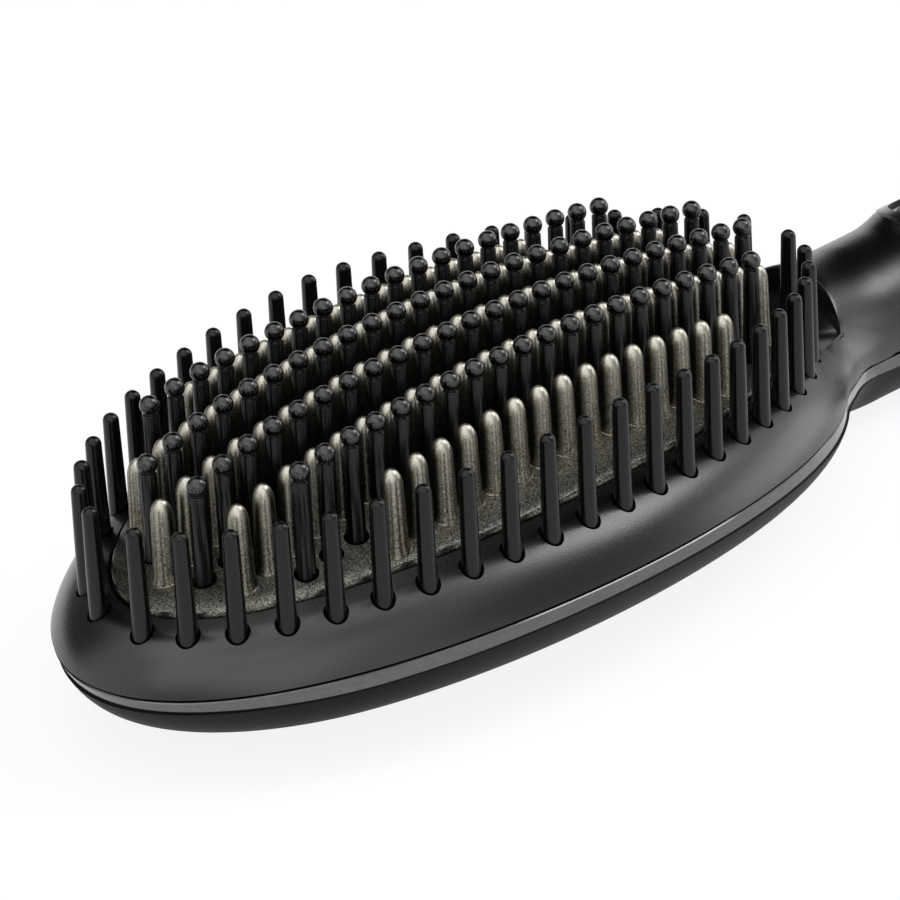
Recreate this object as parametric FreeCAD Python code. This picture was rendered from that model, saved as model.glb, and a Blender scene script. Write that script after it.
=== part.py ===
import FreeCAD
import Part
import math
import os

from FreeCAD import Vector

# Heated styling brush lying on its back: +X runs from the head to the handle, +Z is the bristle side.
# The origin lies on the rest plane, straight under the middle of the head. Lengths are millimetres.

# Head outline and crowned deck
head_half_length = 61.2
head_half_width = 33.0
deck_crest = 26.8
deck_end_fall = 11.26
deck_side_fall = 8.69
shoulder_radius = 6.0
wall = 2.0

# Seam between the shells, arched along the head
seam_crest = 15.0
seam_radius = 555.0
trim_height = 2.3
trim_inset = 0.2

# Domed back with a small flat to lie on
back_end_rise = 6.54
back_side_rise = 10.76
back_edge_radius = 4.5
rest_flat_depth = 0.6

# Throat, neck and handle
throat_lead = 16.0
throat_tail = 8.8
throat_waist = 7.4
throat_power = 1.4
throat_root_inset = 0.9
throat_tuck_length = 9.0
throat_tuck_width = 4.0
throat_tuck_height = 1.2
neck_run = 2.0
neck_radius = 10.9
grip_radius = 13.4
grip_distance = 82.0
handle_length = 136.0
handle_end_radius = 11.8
saddle_drop = 3.5
saddle_end_fall = 5.35
outline_points = 24

# Heater plate with its fingers
plate_end_margin = 2.95
plate_side_margin = 3.3
plate_proud = 0.4
plate_gap = 0.3
flange_height = 1.6
flange_width = 1.3
skirt_wall = 1.2
bristle_pitch = 4.0
row_pitch = 8.85
bristle_edge_margin = 4.2
finger_length = 9.9
finger_tip_radius = 1.34
finger_base_radius = 1.6
finger_tip_rise = 2.3
finger_foot_radius = 1.9
finger_foot_height = 0.5
finger_fall_along = 0.00245
finger_fall_across = 0.0078
finger_end_start = 36.0
finger_end_fall = 0.006

# Ball-tipped bristles on strips between the finger rows
ball_radius = 1.18
shaft_tip_radius = 1.0
shaft_base_radius = 1.3
shaft_clearance = 0.15
ball_rise = 11.3
ball_fall_along = 0.001785
ball_fall_across = 0.00365
ball_end_start = 28.0
ball_end_fall = 0.0052
rail_width = 3.2
rail_clearance = 0.1
rail_depth = 2.0
rail_end_margin = 0.8
keel_frame_gap = 1.0

# Outer bristles on one frame that goes round the plate
ring_end_margin = 5.35
ring_side_margin = 5.7
ring_step = 5.755
ring_pin_tip_radius = 0.98
ring_pin_edge_radius = 0.6
ring_pin_base_radius = 1.28
ring_hole_clearance = 0.3
ring_tip_rise = 7.7
ring_tip_fall = 0.0672
ring_tip_round = 4.0
frame_thickness = 2.2
frame_outside_margin = 1.55
frame_inside_margin = 2.2
frame_clearance = 0.55
post_radius = 2.0
post_angles = (45, 90, 135, 225, 270, 315)

# Heaters and what clamps them
heater_frame_gap = 6.2
heater_thickness = 3.0
heater_gap = 0.25
mica_thickness = 0.4
clamp_thickness = 1.0
clamp_margin = 0.95
clamp_screw_heater_gap = 1.8
clamp_screw_radius = 1.2
clamp_screw_head_radius = 2.2
clamp_screw_head_height = 1.2
clamp_screw_bite = 3.6
screw_hole_clearance = 0.3

# Small blocks under the clamp plate and the leads that run from them to the board
block_length = 12.0
block_width = 4.0
block_height = 2.4
lead_radius = 0.9
lead_gap = 0.3
lead_bend_radius = 2.6
sensor_length = 6.0
sensor_width = 3.0
sensor_height = 2.7
sensor_start = 12.0
sensor_lead_radius = 0.5

# Control board and what stands on it
board_front_gap = 8.2
board_rear_gap = 4.2
board_side_gap = 1.4
board_thickness = 1.6
lead_board_inset = 6.0
board_screw_front = 26.0
board_screw_rear = 10.0
board_screw_radius = 1.1
board_screw_head_radius = 2.2
board_screw_head_height = 1.6
board_screw_bite = 4.0
board_boss_radius = 2.6
component_gap = 3.0
capacitor_length = 16.0
capacitor_width = 7.0
capacitor_height = 6.0
triac_length = 10.0
triac_width = 4.5
triac_height = 7.0

# Power button group on top of the neck
button_board_inset = 10.0
button_radius = 4.2
button_clearance = 0.25
button_flange_radius = 4.9
button_flange_height = 0.8
button_stem_radius = 1.8
button_travel = 0.3
button_proud = 0.4
button_dome_radius = 14.0
light_ring_wall = 1.15
light_ring_height = 2.4
bezel_wall = 1.6
bezel_proud = 0.9
bezel_depth = 4.2
switch_width = 6.2
switch_height = 3.4
plunger_radius = 1.5
plunger_fit = 0.05
plunger_height = 0.8
plunger_length = 2.8
plunger_room = 0.4
led_length = 1.6
led_width = 1.0
led_height = 0.7

# Screws that hold the shells together
shell_screw_neck_offset = 4.8
shell_screw_end_distance = 28.0
shell_screw_radius = 1.4
shell_screw_head_radius = 2.6
shell_screw_head_height = 2.0
shell_screw_recess = 4.0
shell_screw_bite = 6.0
shell_boss_wall = 1.2
shell_boss_drop = 1.0

# Swivel where the cord enters
cap_length = 4.0
cap_spigot_length = 3.0
cap_spigot_clearance = 0.2
journal_radius = 6.0
journal_fit = 0.05
journal_inner_length = 6.0
gland_gap = 0.3
gland_length = 12.0
gland_root_radius = 8.6
gland_tip_radius = 6.0
cord_bore_radius = 3.4
cord_bore_length = 18.0
retainer_radius = 7.8
retainer_groove = 0.6
retainer_thickness = 1.0
retainer_gap = 0.4
contact_block_length = 10.0
contact_block_width = 12.0
contact_block_height = 6.0
contact_block_gap = 3.0
mains_lead_radius = 0.9


def arc_radius(half_span, rise):
    # Radius of the arc that rises by that much over half its span
    return (half_span ** 2 + rise ** 2) / (2.0 * rise)


def oval_half_width(x, half_length, half_width):
    return half_width * math.sqrt(max(0.0, 1.0 - (x / half_length) ** 2))


# Crowns and ovals that follow from the head's outline
deck_radius_along = arc_radius(head_half_length, deck_end_fall)
deck_radius_across = arc_radius(head_half_width, deck_side_fall)
saddle_radius_along = arc_radius(head_half_length, saddle_end_fall)
back_radius_along = arc_radius(head_half_length, back_end_rise)
back_radius_across = arc_radius(head_half_width, back_side_rise)
ring_half_length = head_half_length - ring_end_margin
ring_half_width = head_half_width - ring_side_margin
plate_half_length = ring_half_length - plate_end_margin
plate_half_width = ring_half_width - plate_side_margin
frame_outer_length = ring_half_length + frame_outside_margin
frame_outer_width = ring_half_width + frame_outside_margin
frame_inner_length = plate_half_length + flange_width - frame_inside_margin
frame_inner_width = plate_half_width + flange_width - frame_inside_margin

# Places along the brush that follow from the head and the handle
throat_start = head_half_length - throat_lead
throat_end = head_half_length + throat_tail
grip_middle = throat_end + grip_distance
handle_end = throat_end + handle_length
shell_screw_neck = head_half_length + shell_screw_neck_offset
shell_screw_grip = handle_end - shell_screw_end_distance
shell_boss_radius = shell_screw_head_radius + shell_boss_wall
shell_boss_joint = neck_radius - shell_boss_drop
front_boss_radius = shell_screw_radius + shell_boss_wall
mains_lead_spacing = front_boss_radius + mains_lead_radius + lead_gap
board_start = shell_screw_neck + shell_boss_radius + board_front_gap
board_end = shell_screw_grip - shell_boss_radius - board_rear_gap
button_x = board_start + button_board_inset
lead_spacing = shell_boss_radius + lead_radius + lead_gap
sensor_offset = lead_spacing + lead_radius + lead_gap + sensor_width / 2.0
sensor_lead_offset = lead_spacing + lead_radius + lead_gap + sensor_lead_radius
heater_width = row_pitch - rail_width - 2.0 * heater_gap
heater_side = row_pitch + heater_width / 2.0
heater_half_length = oval_half_width(heater_side, frame_inner_width, frame_inner_length) - heater_frame_gap
clamp_screw_x = heater_half_length + clamp_screw_head_radius + clamp_screw_heater_gap
clamp_screw_y = row_pitch


def deck_height(x, y):
    # Height of the crowned deck over the rest plane
    fall_across = deck_radius_across - math.sqrt(deck_radius_across ** 2 - y ** 2)
    return deck_crest - deck_radius_along + math.sqrt((deck_radius_along - fall_across) ** 2 - x ** 2)


# Levels that follow from the stack of pieces inside the head
plate_crest = deck_crest + plate_proud
plate_underside = deck_height(frame_outer_length, 0.0) - wall - frame_clearance
flange_top = plate_underside + flange_height
frame_bottom = plate_underside - frame_thickness
rail_top = plate_underside + rail_depth
heater_bottom = plate_underside - heater_thickness
clamp_top = heater_bottom - mica_thickness
clamp_bottom = clamp_top - clamp_thickness
lead_height = clamp_bottom - block_height / 2.0
sensor_lead_height = clamp_bottom - clamp_screw_head_height - lead_gap - sensor_lead_radius
board_bottom = lead_height + lead_bend_radius
board_top = board_bottom + board_thickness
board_room = (neck_radius - wall) ** 2 - (board_top - neck_radius) ** 2
board_width = 2.0 * (math.sqrt(board_room) - board_side_gap)
reach = 300.0
from_above = math.pi / 2.0
from_below = -math.pi / 2.0


def box(x0, x1, y0, y1, z0, z1):
    return Part.makeBox(x1 - x0, y1 - y0, z1 - z0, Vector(x0, y0, z0))


def upright(x, y, z0, z1, radius):
    return Part.makeCylinder(radius, z1 - z0, Vector(x, y, z0), Vector(0, 0, 1))


def lengthwise(x0, x1, z, radius):
    return Part.makeCylinder(radius, x1 - x0, Vector(x0, 0, z), Vector(1, 0, 0))


def oval_prism(half_length, half_width, z0, z1):
    edge = Part.Ellipse(Vector(0, 0, z0), half_length, half_width).toShape()
    return Part.Face(Part.Wire(edge)).extrude(Vector(0, 0, z1 - z0))


def crowned_solid(crest, radius_along, radius_across):
    # Everything under a surface that is an arc across the brush, carried along a larger arc
    half_width = (head_half_width + radius_across) / 2.0
    half_angle = math.degrees(math.asin((head_half_length + throat_tail) / radius_along)) + 5.0
    depth = 0.8 * radius_across
    edge_height = crest - radius_across + math.sqrt(radius_across ** 2 - half_width ** 2)
    left = Vector(0, -half_width, edge_height)
    right = Vector(0, half_width, edge_height)
    arc = Part.Arc(left, Vector(0, 0, crest), right).toShape()
    low_right = Vector(0, half_width, crest - depth)
    low_left = Vector(0, -half_width, crest - depth)
    sides = [Part.makeLine(right, low_right), Part.makeLine(low_right, low_left)]
    sides.append(Part.makeLine(low_left, left))
    face = Part.Face(Part.Wire([arc] + sides))
    centre = Vector(0, 0, crest - radius_along)
    face.rotate(centre, Vector(0, 1, 0), -half_angle)
    return face.revolve(centre, Vector(0, 1, 0), 2.0 * half_angle)


def long_edges(shape, z_low, z_high):
    # The outline edge where a crowned face meets the upright side
    found = []
    for edge in shape.Edges:
        bounds = edge.BoundBox
        if bounds.XLength > head_half_length / 3.0 and bounds.ZMin > z_low and bounds.ZMax < z_high:
            found.append(edge)
    return found


def seam_arc_height(x):
    return seam_crest - seam_radius + math.sqrt(seam_radius ** 2 - x ** 2)


def grip_height(x):
    # Half height of the neck and handle: slim neck, swelling grip, slightly slimmer end
    if x <= grip_middle:
        share = max(0.0, (x - throat_end) / (grip_middle - throat_end))
        start = neck_radius
    else:
        share = (handle_end - x) / (handle_end - grip_middle)
        start = handle_end_radius
    rise = 0.5 - 0.5 * math.cos(math.pi * min(1.0, max(0.0, share)))
    return start + (grip_radius - start) * rise


def neck_sections():
    # Stations of the throat, neck and handle: place, half width, half height, height of the centre
    sections = []
    tuck = throat_start - throat_tuck_length
    tuck_width = oval_half_width(tuck, head_half_length, head_half_width) - throat_tuck_width
    sections.append((tuck, tuck_width, throat_waist - throat_tuck_height, seam_arc_height(tuck)))
    root_width = oval_half_width(throat_start, head_half_length, head_half_width) - throat_root_inset
    for share in (0.0, 0.25, 0.48, 0.7):
        x = throat_start + share * (throat_end - throat_start)
        half_width = neck_radius + (root_width - neck_radius) * (1.0 - share) ** throat_power
        half_height = throat_waist + (neck_radius - throat_waist) * share
        sections.append((x, half_width, half_height, seam_arc_height(x)))
    first = throat_end + neck_run
    for share in (0.0, 0.07, 0.2, 0.4, 0.6, 0.8, 1.0):
        x = first + share * (handle_end - first)
        sections.append((x, grip_height(x), grip_height(x), grip_height(x)))
    return sections


def neck_loft(inset, overrun, start_angle):
    # The start angle says where the skin begins and ends round the neck: on the side that is cut away
    rings = []
    sections = neck_sections()
    if overrun > 0.0:
        last = sections[-1]
        sections.append((last[0] + overrun, last[1], last[2], last[3]))
    for x, half_width, half_height, centre in sections:
        rings.append(Part.Wire(oval_ring(x, half_width - inset, half_height - inset, centre, start_angle)))
    return Part.makeLoft(rings, True, False)


def oval_ring(x, half_width, half_height, centre, start_angle):
    # Same start, turning sense and points on every station, so that the loft doesn't twist
    points = []
    for k in range(outline_points):
        angle = start_angle + 2.0 * math.pi * k / outline_points
        points.append(Vector(x, half_width * math.cos(angle), centre + half_height * math.sin(angle)))
    ring = Part.BSplineCurve()
    ring.interpolate(Points=points, PeriodicFlag=True)
    return ring.toShape()


def above_seam(drop):
    # Everything over the seam, or over the seam lowered by drop
    points = []
    for share in (-1.5, -1.0, -0.6, -0.3, 0.0, 0.3, 0.6):
        x = share * throat_start
        points.append(Vector(x, -reach, seam_arc_height(x) - drop))
    for x, half_width, half_height, centre in neck_sections():
        if x > 0.7 * throat_start:
            points.append(Vector(x, -reach, centre - drop))
    last = points[-1]
    far = Vector(last.x + reach, -reach, last.z)
    curve = Part.BSplineCurve()
    curve.interpolate(points)
    first = points[0]
    top_right = Vector(far.x, -reach, reach)
    top_left = Vector(first.x, -reach, reach)
    lines = [Part.makeLine(last, far), Part.makeLine(far, top_right)]
    lines += [Part.makeLine(top_right, top_left), Part.makeLine(top_left, first)]
    face = Part.Face(Part.Wire([curve.toShape()] + lines))
    return face.extrude(Vector(0, 2.0 * reach, 0))


def head_front(inset):
    side = oval_prism(head_half_length - inset, head_half_width - inset, -reach, reach)
    body = side.common(crowned_solid(deck_crest - inset, deck_radius_along, deck_radius_across))
    edges = long_edges(body, 0.0, deck_crest)
    return body.makeFillet(shoulder_radius - inset, edges)


def head_back(inset):
    side = oval_prism(head_half_length - inset, head_half_width - inset, -reach, reach)
    dome = crowned_solid(rest_flat_depth - inset, back_radius_along, back_radius_across)
    dome = dome.mirror(Vector(0, 0, 0), Vector(0, 0, 1))
    body = side.common(dome)
    edges = long_edges(body, -rest_flat_depth, seam_crest)
    return body.makeFillet(back_edge_radius - inset, edges)


def dish(inset):
    # The hollow over the deck that cuts a crescent lip into the neck
    extra = trim_inset + inset
    side = oval_prism(head_half_length + extra, head_half_width + extra, 0.0, reach)
    floor = crowned_solid(deck_crest - saddle_drop - inset, saddle_radius_along, deck_radius_across)
    return side.cut(floor)


def front_body(inset, overrun):
    return head_front(inset).fuse(neck_loft(inset, overrun, from_below).cut(dish(inset)))


def back_body(inset, overrun):
    return head_back(inset).fuse(neck_loft(inset, overrun, from_above))


def ball_height(x, y):
    end = max(0.0, -x - ball_end_start)
    fall = ball_fall_along * x ** 2 + ball_fall_across * y ** 2 + ball_end_fall * end ** 2
    return plate_crest + ball_rise - fall


def finger_height(x, y):
    end = max(0.0, abs(x) - finger_end_start)
    fall = finger_fall_along * x ** 2 + finger_fall_across * y ** 2 + finger_end_fall * end ** 2
    return plate_crest + finger_length - fall


def ring_tip_height(x):
    return deck_crest + ring_tip_rise - ring_tip_fall * (math.hypot(x, ring_tip_round) - ring_tip_round)


def row_places(y, shift):
    # Places along a row at even pitch, as far as the plate's oval allows; shift is a share of the pitch
    room = oval_half_width(y, plate_half_width, plate_half_length) - bristle_edge_margin
    last = math.floor(room / bristle_pitch - shift) + shift
    count = int(round(2.0 * last)) + 1
    return [(k - last) * bristle_pitch for k in range(count)]


def finger_places():
    rows = math.floor((plate_half_width - bristle_edge_margin) / row_pitch)
    places = []
    for row in range(-rows, rows + 1):
        y = row * row_pitch
        places += [(x, y) for x in row_places(y, 0.0)]
    return places


def strip_places(y):
    return row_places(y, 0.5)


def ring_places():
    # Even steps along the oval, counted from the two long sides towards the tip and the neck
    oval = Part.Ellipse(Vector(0, 0, 0), ring_half_length, ring_half_width)
    places = []
    quarter = oval.length(0.0, math.pi / 2.0)
    steps = math.floor((quarter - ring_step / 2.0) / ring_step)
    for k in range(steps + 1):
        angle = oval.parameterAtDistance(-k * ring_step, math.pi / 2.0)
        spot = oval.value(angle)
        for sign_y in (1.0, -1.0):
            places.append((spot.x, sign_y * spot.y))
            if k > 0:
                places.append((-spot.x, sign_y * spot.y))
    return places


def rounded_pin(x, y, z0, z1, base_radius, tip_radius, edge_radius):
    # Tapered pin with a flat top whose edge is rounded
    flat = tip_radius - edge_radius
    bend = math.sqrt(0.5) * edge_radius
    foot = Vector(x, y, z0)
    base = Vector(x + base_radius, y, z0)
    shoulder = Vector(x + tip_radius, y, z1 - edge_radius)
    middle = Vector(x + flat + bend, y, z1 - edge_radius + bend)
    rim = Vector(x + flat, y, z1)
    top = Vector(x, y, z1)
    edges = [Part.makeLine(foot, base), Part.makeLine(base, shoulder)]
    edges += [Part.Arc(shoulder, middle, rim).toShape(), Part.makeLine(rim, top), Part.makeLine(top, foot)]
    return Part.Face(Part.Wire(edges)).revolve(foot, Vector(0, 0, 1), 360.0)


def bullet_finger(x, y):
    # Tapered finger with a flared foot on the plate and a long dome on top
    z1 = finger_height(x, y)
    foot_z = deck_height(x, y) + plate_proud
    root = Vector(x, y, rail_top)
    root_rim = Vector(x + finger_foot_radius, y, rail_top)
    foot_rim = Vector(x + finger_foot_radius, y, foot_z)
    waist = Vector(x + finger_base_radius, y, foot_z + finger_foot_height)
    shoulder = Vector(x + finger_tip_radius, y, z1 - finger_tip_rise)
    centre = Vector(x, y, z1 - finger_tip_rise)
    top = Vector(x, y, z1)
    dome = Part.ArcOfEllipse(Part.Ellipse(top, shoulder, centre), 0.0, math.pi / 2.0).toShape()
    edges = [Part.makeLine(root, root_rim), Part.makeLine(root_rim, foot_rim)]
    edges += [Part.makeLine(foot_rim, waist), Part.makeLine(waist, shoulder)]
    edges += [dome, Part.makeLine(top, root)]
    return Part.Face(Part.Wire(edges)).revolve(root, Vector(0, 0, 1), 360.0)


def ball_bristle(x, y, z0):
    centre = ball_height(x, y)
    shaft = Part.makeCone(shaft_base_radius, shaft_tip_radius, centre - z0, Vector(x, y, z0))
    return shaft.fuse(Part.makeSphere(ball_radius, Vector(x, y, centre)))


def screw(x, y, z_seat, z_tip, head_radius, head_height, shank_radius):
    # Pan head under the face that it seats on, shank upwards
    head = upright(x, y, z_seat - head_height, z_seat, head_radius)
    return head.fuse(upright(x, y, z_seat, z_tip, shank_radius))


def bent_lead(x0, x1, y, z0, bend_radius, radius):
    # Straight along the brush, then a quarter turn up to the board
    corner = x1 - bend_radius
    start = Vector(x0, y, z0)
    straight_end = Vector(corner, y, z0)
    end = Vector(x1, y, z0 + bend_radius)
    slant = math.sqrt(0.5) * bend_radius
    middle = Vector(corner + slant, y, z0 + bend_radius - slant)
    line = Part.makeLine(start, straight_end)
    arc = Part.Arc(straight_end, middle, end).toShape()
    circle = Part.Wire(Part.makeCircle(radius, start, Vector(1, 0, 0)))
    lead = Part.Wire([line, arc]).makePipeShell([circle], True, True)
    length = straight_end.x - start.x + bend_radius * math.pi / 2.0
    print("lead bend radius", bend_radius, "volume share", lead.Volume / (math.pi * radius ** 2 * length))
    return lead


def clamp_screw_places():
    return [(sx * clamp_screw_x, sy * clamp_screw_y) for sx in (1, -1) for sy in (1, -1)]


def board_screw_places():
    return [board_start + board_screw_front, board_end - board_screw_rear]


def shell_screw_places():
    return [shell_screw_neck, shell_screw_grip]


def make_front_shell():
    outer = front_body(0.0, 0.0).common(above_seam(0.0))
    inner = front_body(wall, reach / 10.0)
    shell = outer.cut(inner)
    opening_length = plate_half_length + plate_gap
    opening_width = plate_half_width + plate_gap
    opening = oval_prism(opening_length, opening_width, flange_top, reach)
    skirt = oval_prism(opening_length + skirt_wall, opening_width + skirt_wall, flange_top, reach)
    skirt = skirt.common(outer)
    shell = shell.fuse(skirt).cut(opening)
    holes = []
    for x, y in ring_places():
        holes.append(upright(x, y, 0.0, reach, ring_pin_base_radius + ring_hole_clearance))
    shell = shell.cut(holes)
    bosses = []
    pilots = []
    for x in board_screw_places():
        bosses.append(upright(x, 0, board_top, reach, board_boss_radius))
        pilots.append(upright(x, 0, board_bottom, board_top + board_screw_bite, board_screw_radius))
    for x in shell_screw_places():
        bosses.append(upright(x, 0, shell_boss_joint, reach, front_boss_radius))
        pilots.append(upright(x, 0, 0.0, shell_boss_joint + shell_screw_bite, shell_screw_radius))
    inside = neck_loft(wall / 2.0, 0.0, from_below)
    for boss in bosses:
        shell = shell.fuse(boss.common(inside))
    button_hole = upright(button_x, 0, board_top, reach, bezel_radius())
    return shell.cut(pilots + [button_hole]).removeSplitter()


def make_back_shell():
    outer = back_body(0.0, 0.0).cut(above_seam(trim_height))
    outer = outer.common(box(-reach, reach, -reach, reach, 0.0, reach))
    inner = back_body(wall, reach / 10.0)
    shell = outer.cut(inner)
    frame_middle_length = (frame_outer_length + frame_inner_length) / 2.0
    frame_middle_width = (frame_outer_width + frame_inner_width) / 2.0
    for degrees in post_angles:
        angle = math.radians(degrees)
        x = frame_middle_length * math.cos(angle)
        y = frame_middle_width * math.sin(angle)
        post = upright(x, y, wall / 2.0, frame_bottom, post_radius)
        shell = shell.fuse(post.common(head_back(wall / 2.0)))
    tools = []
    inside = neck_loft(wall / 2.0, 0.0, from_above)
    for x in shell_screw_places():
        boss = upright(x, 0, 0.0, shell_boss_joint, shell_boss_radius)
        shell = shell.fuse(boss.common(inside))
        tools.append(upright(x, 0, -1.0, shell_screw_recess, shell_screw_head_radius + screw_hole_clearance))
        tools.append(upright(x, 0, 0.0, shell_boss_joint, shell_screw_radius + screw_hole_clearance))
    block_x0, block_x1 = contact_block_span()
    block_side = contact_block_width / 2.0
    rest = box(block_x0, block_x1, -block_side, block_side, 0.0, board_bottom)
    shell = shell.fuse(rest.common(inside))
    return shell.cut(tools).removeSplitter()


def make_trim_band():
    side = oval_prism(head_half_length - trim_inset, head_half_width - trim_inset, -reach, reach)
    inner_side = oval_prism(head_half_length - wall, head_half_width - wall, -reach, reach)
    outer = side.fuse(neck_loft(trim_inset, 0.0, from_above))
    inner = inner_side.fuse(neck_loft(wall, reach / 10.0, from_above))
    slab = above_seam(trim_height).cut(above_seam(0.0))
    return outer.common(slab).cut(inner)


def make_heater_plate():
    top = crowned_solid(plate_crest, deck_radius_along, deck_radius_across)
    plate = oval_prism(plate_half_length, plate_half_width, plate_underside, reach).common(top)
    flange_length = plate_half_length + flange_width
    flange_half_width = plate_half_width + flange_width
    plate = plate.fuse(oval_prism(flange_length, flange_half_width, plate_underside, flange_top))
    cuts = []
    for y in strip_rows():
        half = rail_half_length(y) + rail_clearance
        side = rail_width / 2.0 + rail_clearance
        cuts.append(box(-half, half, y - side, y + side, plate_underside, rail_top))
        for x in strip_places(y):
            cuts.append(upright(x, y, plate_underside, reach, shaft_base_radius + shaft_clearance))
    plate = plate.cut(cuts)
    fingers = []
    for x, y in finger_places():
        fingers.append(bullet_finger(x, y))
    pilots = []
    for x, y in clamp_screw_places():
        pilots.append(upright(x, y, plate_underside, plate_underside + clamp_screw_bite, clamp_screw_radius))
    return plate.multiFuse(fingers).cut(pilots)


def strip_rows():
    return [share * row_pitch for share in (-1.5, -0.5, 0.5, 1.5)]


def rail_half_length(y):
    return strip_places(y)[-1] + shaft_base_radius + rail_end_margin


def keel_half_length(y):
    # The keel under the plate stays inside the frame's oval and no longer than its rail
    side = abs(y) + rail_width / 2.0
    room = oval_half_width(side, frame_inner_width, frame_inner_length) - keel_frame_gap
    return min(rail_half_length(y), room)


def make_bristle_strip(y):
    half = rail_half_length(y)
    side = rail_width / 2.0
    rail = box(-half, half, y - side, y + side, plate_underside, rail_top)
    keel_half = keel_half_length(y)
    keel = box(-keel_half, keel_half, y - side, y + side, heater_bottom, plate_underside)
    bristles = []
    for x in strip_places(y):
        bristles.append(ball_bristle(x, y, (plate_underside + rail_top) / 2.0))
    return rail.multiFuse([keel] + bristles).removeSplitter()


def make_bristle_frame():
    outer = oval_prism(frame_outer_length, frame_outer_width, frame_bottom, plate_underside)
    inner = oval_prism(frame_inner_length, frame_inner_width, frame_bottom, plate_underside)
    ring = outer.cut(inner)
    pins = []
    for x, y in ring_places():
        foot = (frame_bottom + plate_underside) / 2.0
        pins.append(rounded_pin(x, y, foot, ring_tip_height(x), ring_pin_base_radius,
                                ring_pin_tip_radius, ring_pin_edge_radius))
    return ring.multiFuse(pins)


def make_heater(row):
    y = row * row_pitch
    half = heater_width / 2.0
    return box(-heater_half_length, heater_half_length, y - half, y + half, heater_bottom, plate_underside)


def clamp_outline(z0, z1):
    middle_half = clamp_screw_x + clamp_screw_head_radius + clamp_margin
    middle_side = clamp_screw_y + clamp_screw_head_radius
    outer_row = strip_rows()[-1]
    outer_side = outer_row + rail_width / 2.0
    outer_half = keel_half_length(outer_row)
    sheet = box(-middle_half, middle_half, -middle_side, middle_side, z0, z1)
    sheet = sheet.fuse(box(-outer_half, outer_half, -outer_side, outer_side, z0, z1)).removeSplitter()
    holes = []
    for x, y in clamp_screw_places():
        holes.append(upright(x, y, z0, z1, clamp_screw_radius + screw_hole_clearance))
    return sheet.cut(holes)


def make_clamp_screws():
    tip = plate_underside + clamp_screw_bite
    screws = []
    for x, y in clamp_screw_places():
        screws.append(screw(x, y, clamp_bottom, tip, clamp_screw_head_radius,
                            clamp_screw_head_height, clamp_screw_radius))
    return Part.makeCompound(screws)


def make_block(y):
    half = block_length / 2.0
    side = block_width / 2.0
    return box(-half, half, y - side, y + side, clamp_bottom - block_height, clamp_bottom)


def make_block_lead(y):
    end = board_start + lead_board_inset
    return bent_lead(block_length / 2.0, end, y, lead_height, lead_bend_radius, lead_radius)


def make_sensor():
    side = sensor_width / 2.0
    y = -sensor_offset
    return box(sensor_start, sensor_start + sensor_length, y - side, y + side,
               clamp_bottom - sensor_height, clamp_bottom)


def make_sensor_lead():
    start = sensor_start + sensor_length
    end = board_start + lead_board_inset
    bend_radius = board_bottom - sensor_lead_height
    return bent_lead(start, end, -sensor_lead_offset, sensor_lead_height, bend_radius, sensor_lead_radius)


def make_control_board():
    side = board_width / 2.0
    board = box(board_start, board_end, -side, side, board_bottom, board_top)
    holes = []
    for x in board_screw_places():
        holes.append(upright(x, 0, board_bottom, board_top, board_screw_radius + screw_hole_clearance))
    return board.cut(holes)


def make_board_screws():
    tip = board_top + board_screw_bite
    screws = []
    for x in board_screw_places():
        screws.append(screw(x, 0, board_bottom, tip, board_screw_head_radius,
                            board_screw_head_height, board_screw_radius))
    return Part.makeCompound(screws)


def make_filter_capacitor():
    x0 = board_screw_places()[0] + board_boss_radius + component_gap
    side = capacitor_width / 2.0
    return box(x0, x0 + capacitor_length, -side, side, board_top, board_top + capacitor_height)


def make_triac():
    x1 = board_screw_places()[1] - board_boss_radius - component_gap
    side = triac_width / 2.0
    return box(x1 - triac_length, x1, -side, side, board_top, board_top + triac_height)


def switch_top():
    return board_top + switch_height


def plunger_top():
    return switch_top() + plunger_height


def make_tact_switch():
    half = switch_width / 2.0
    body = box(button_x - half, button_x + half, -half, half, board_top, switch_top())
    well_floor = plunger_top() - plunger_length - plunger_room
    return body.cut(upright(button_x, 0, well_floor, switch_top(), plunger_radius + plunger_fit))


def make_switch_plunger():
    top = plunger_top()
    return upright(button_x, 0, top - plunger_length, top, plunger_radius)


def make_status_leds():
    leds = []
    ring_middle = button_radius + button_clearance + light_ring_wall / 2.0
    for sign in (1.0, -1.0):
        x0 = button_x - led_length / 2.0
        y0 = sign * ring_middle - led_width / 2.0
        leds.append(box(x0, x0 + led_length, y0, y0 + led_width, board_top, board_top + led_height))
    return Part.makeCompound(leds)


def neck_top():
    return 2.0 * grip_height(button_x)


def light_ring_radius():
    return button_radius + button_clearance + light_ring_wall


def bezel_radius():
    return light_ring_radius() + bezel_wall


def light_ring_bottom():
    return neck_top() - light_ring_height


def neck_round(extra):
    # Round bar along the neck, used to give the button group a top that follows the neck
    middle = grip_height(button_x)
    return lengthwise(button_x - neck_radius, button_x + neck_radius, middle, middle + extra)


def make_button_bezel():
    bottom = neck_top() - bezel_depth
    tube = upright(button_x, 0, bottom, reach, bezel_radius())
    tube = tube.cut(upright(button_x, 0, bottom, reach, light_ring_radius()))
    return tube.common(neck_round(bezel_proud))


def make_light_ring():
    bottom = light_ring_bottom()
    tube = upright(button_x, 0, bottom, reach, light_ring_radius())
    tube = tube.cut(upright(button_x, 0, bottom, reach, button_radius + button_clearance))
    return tube.common(neck_round(0.0))


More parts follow.
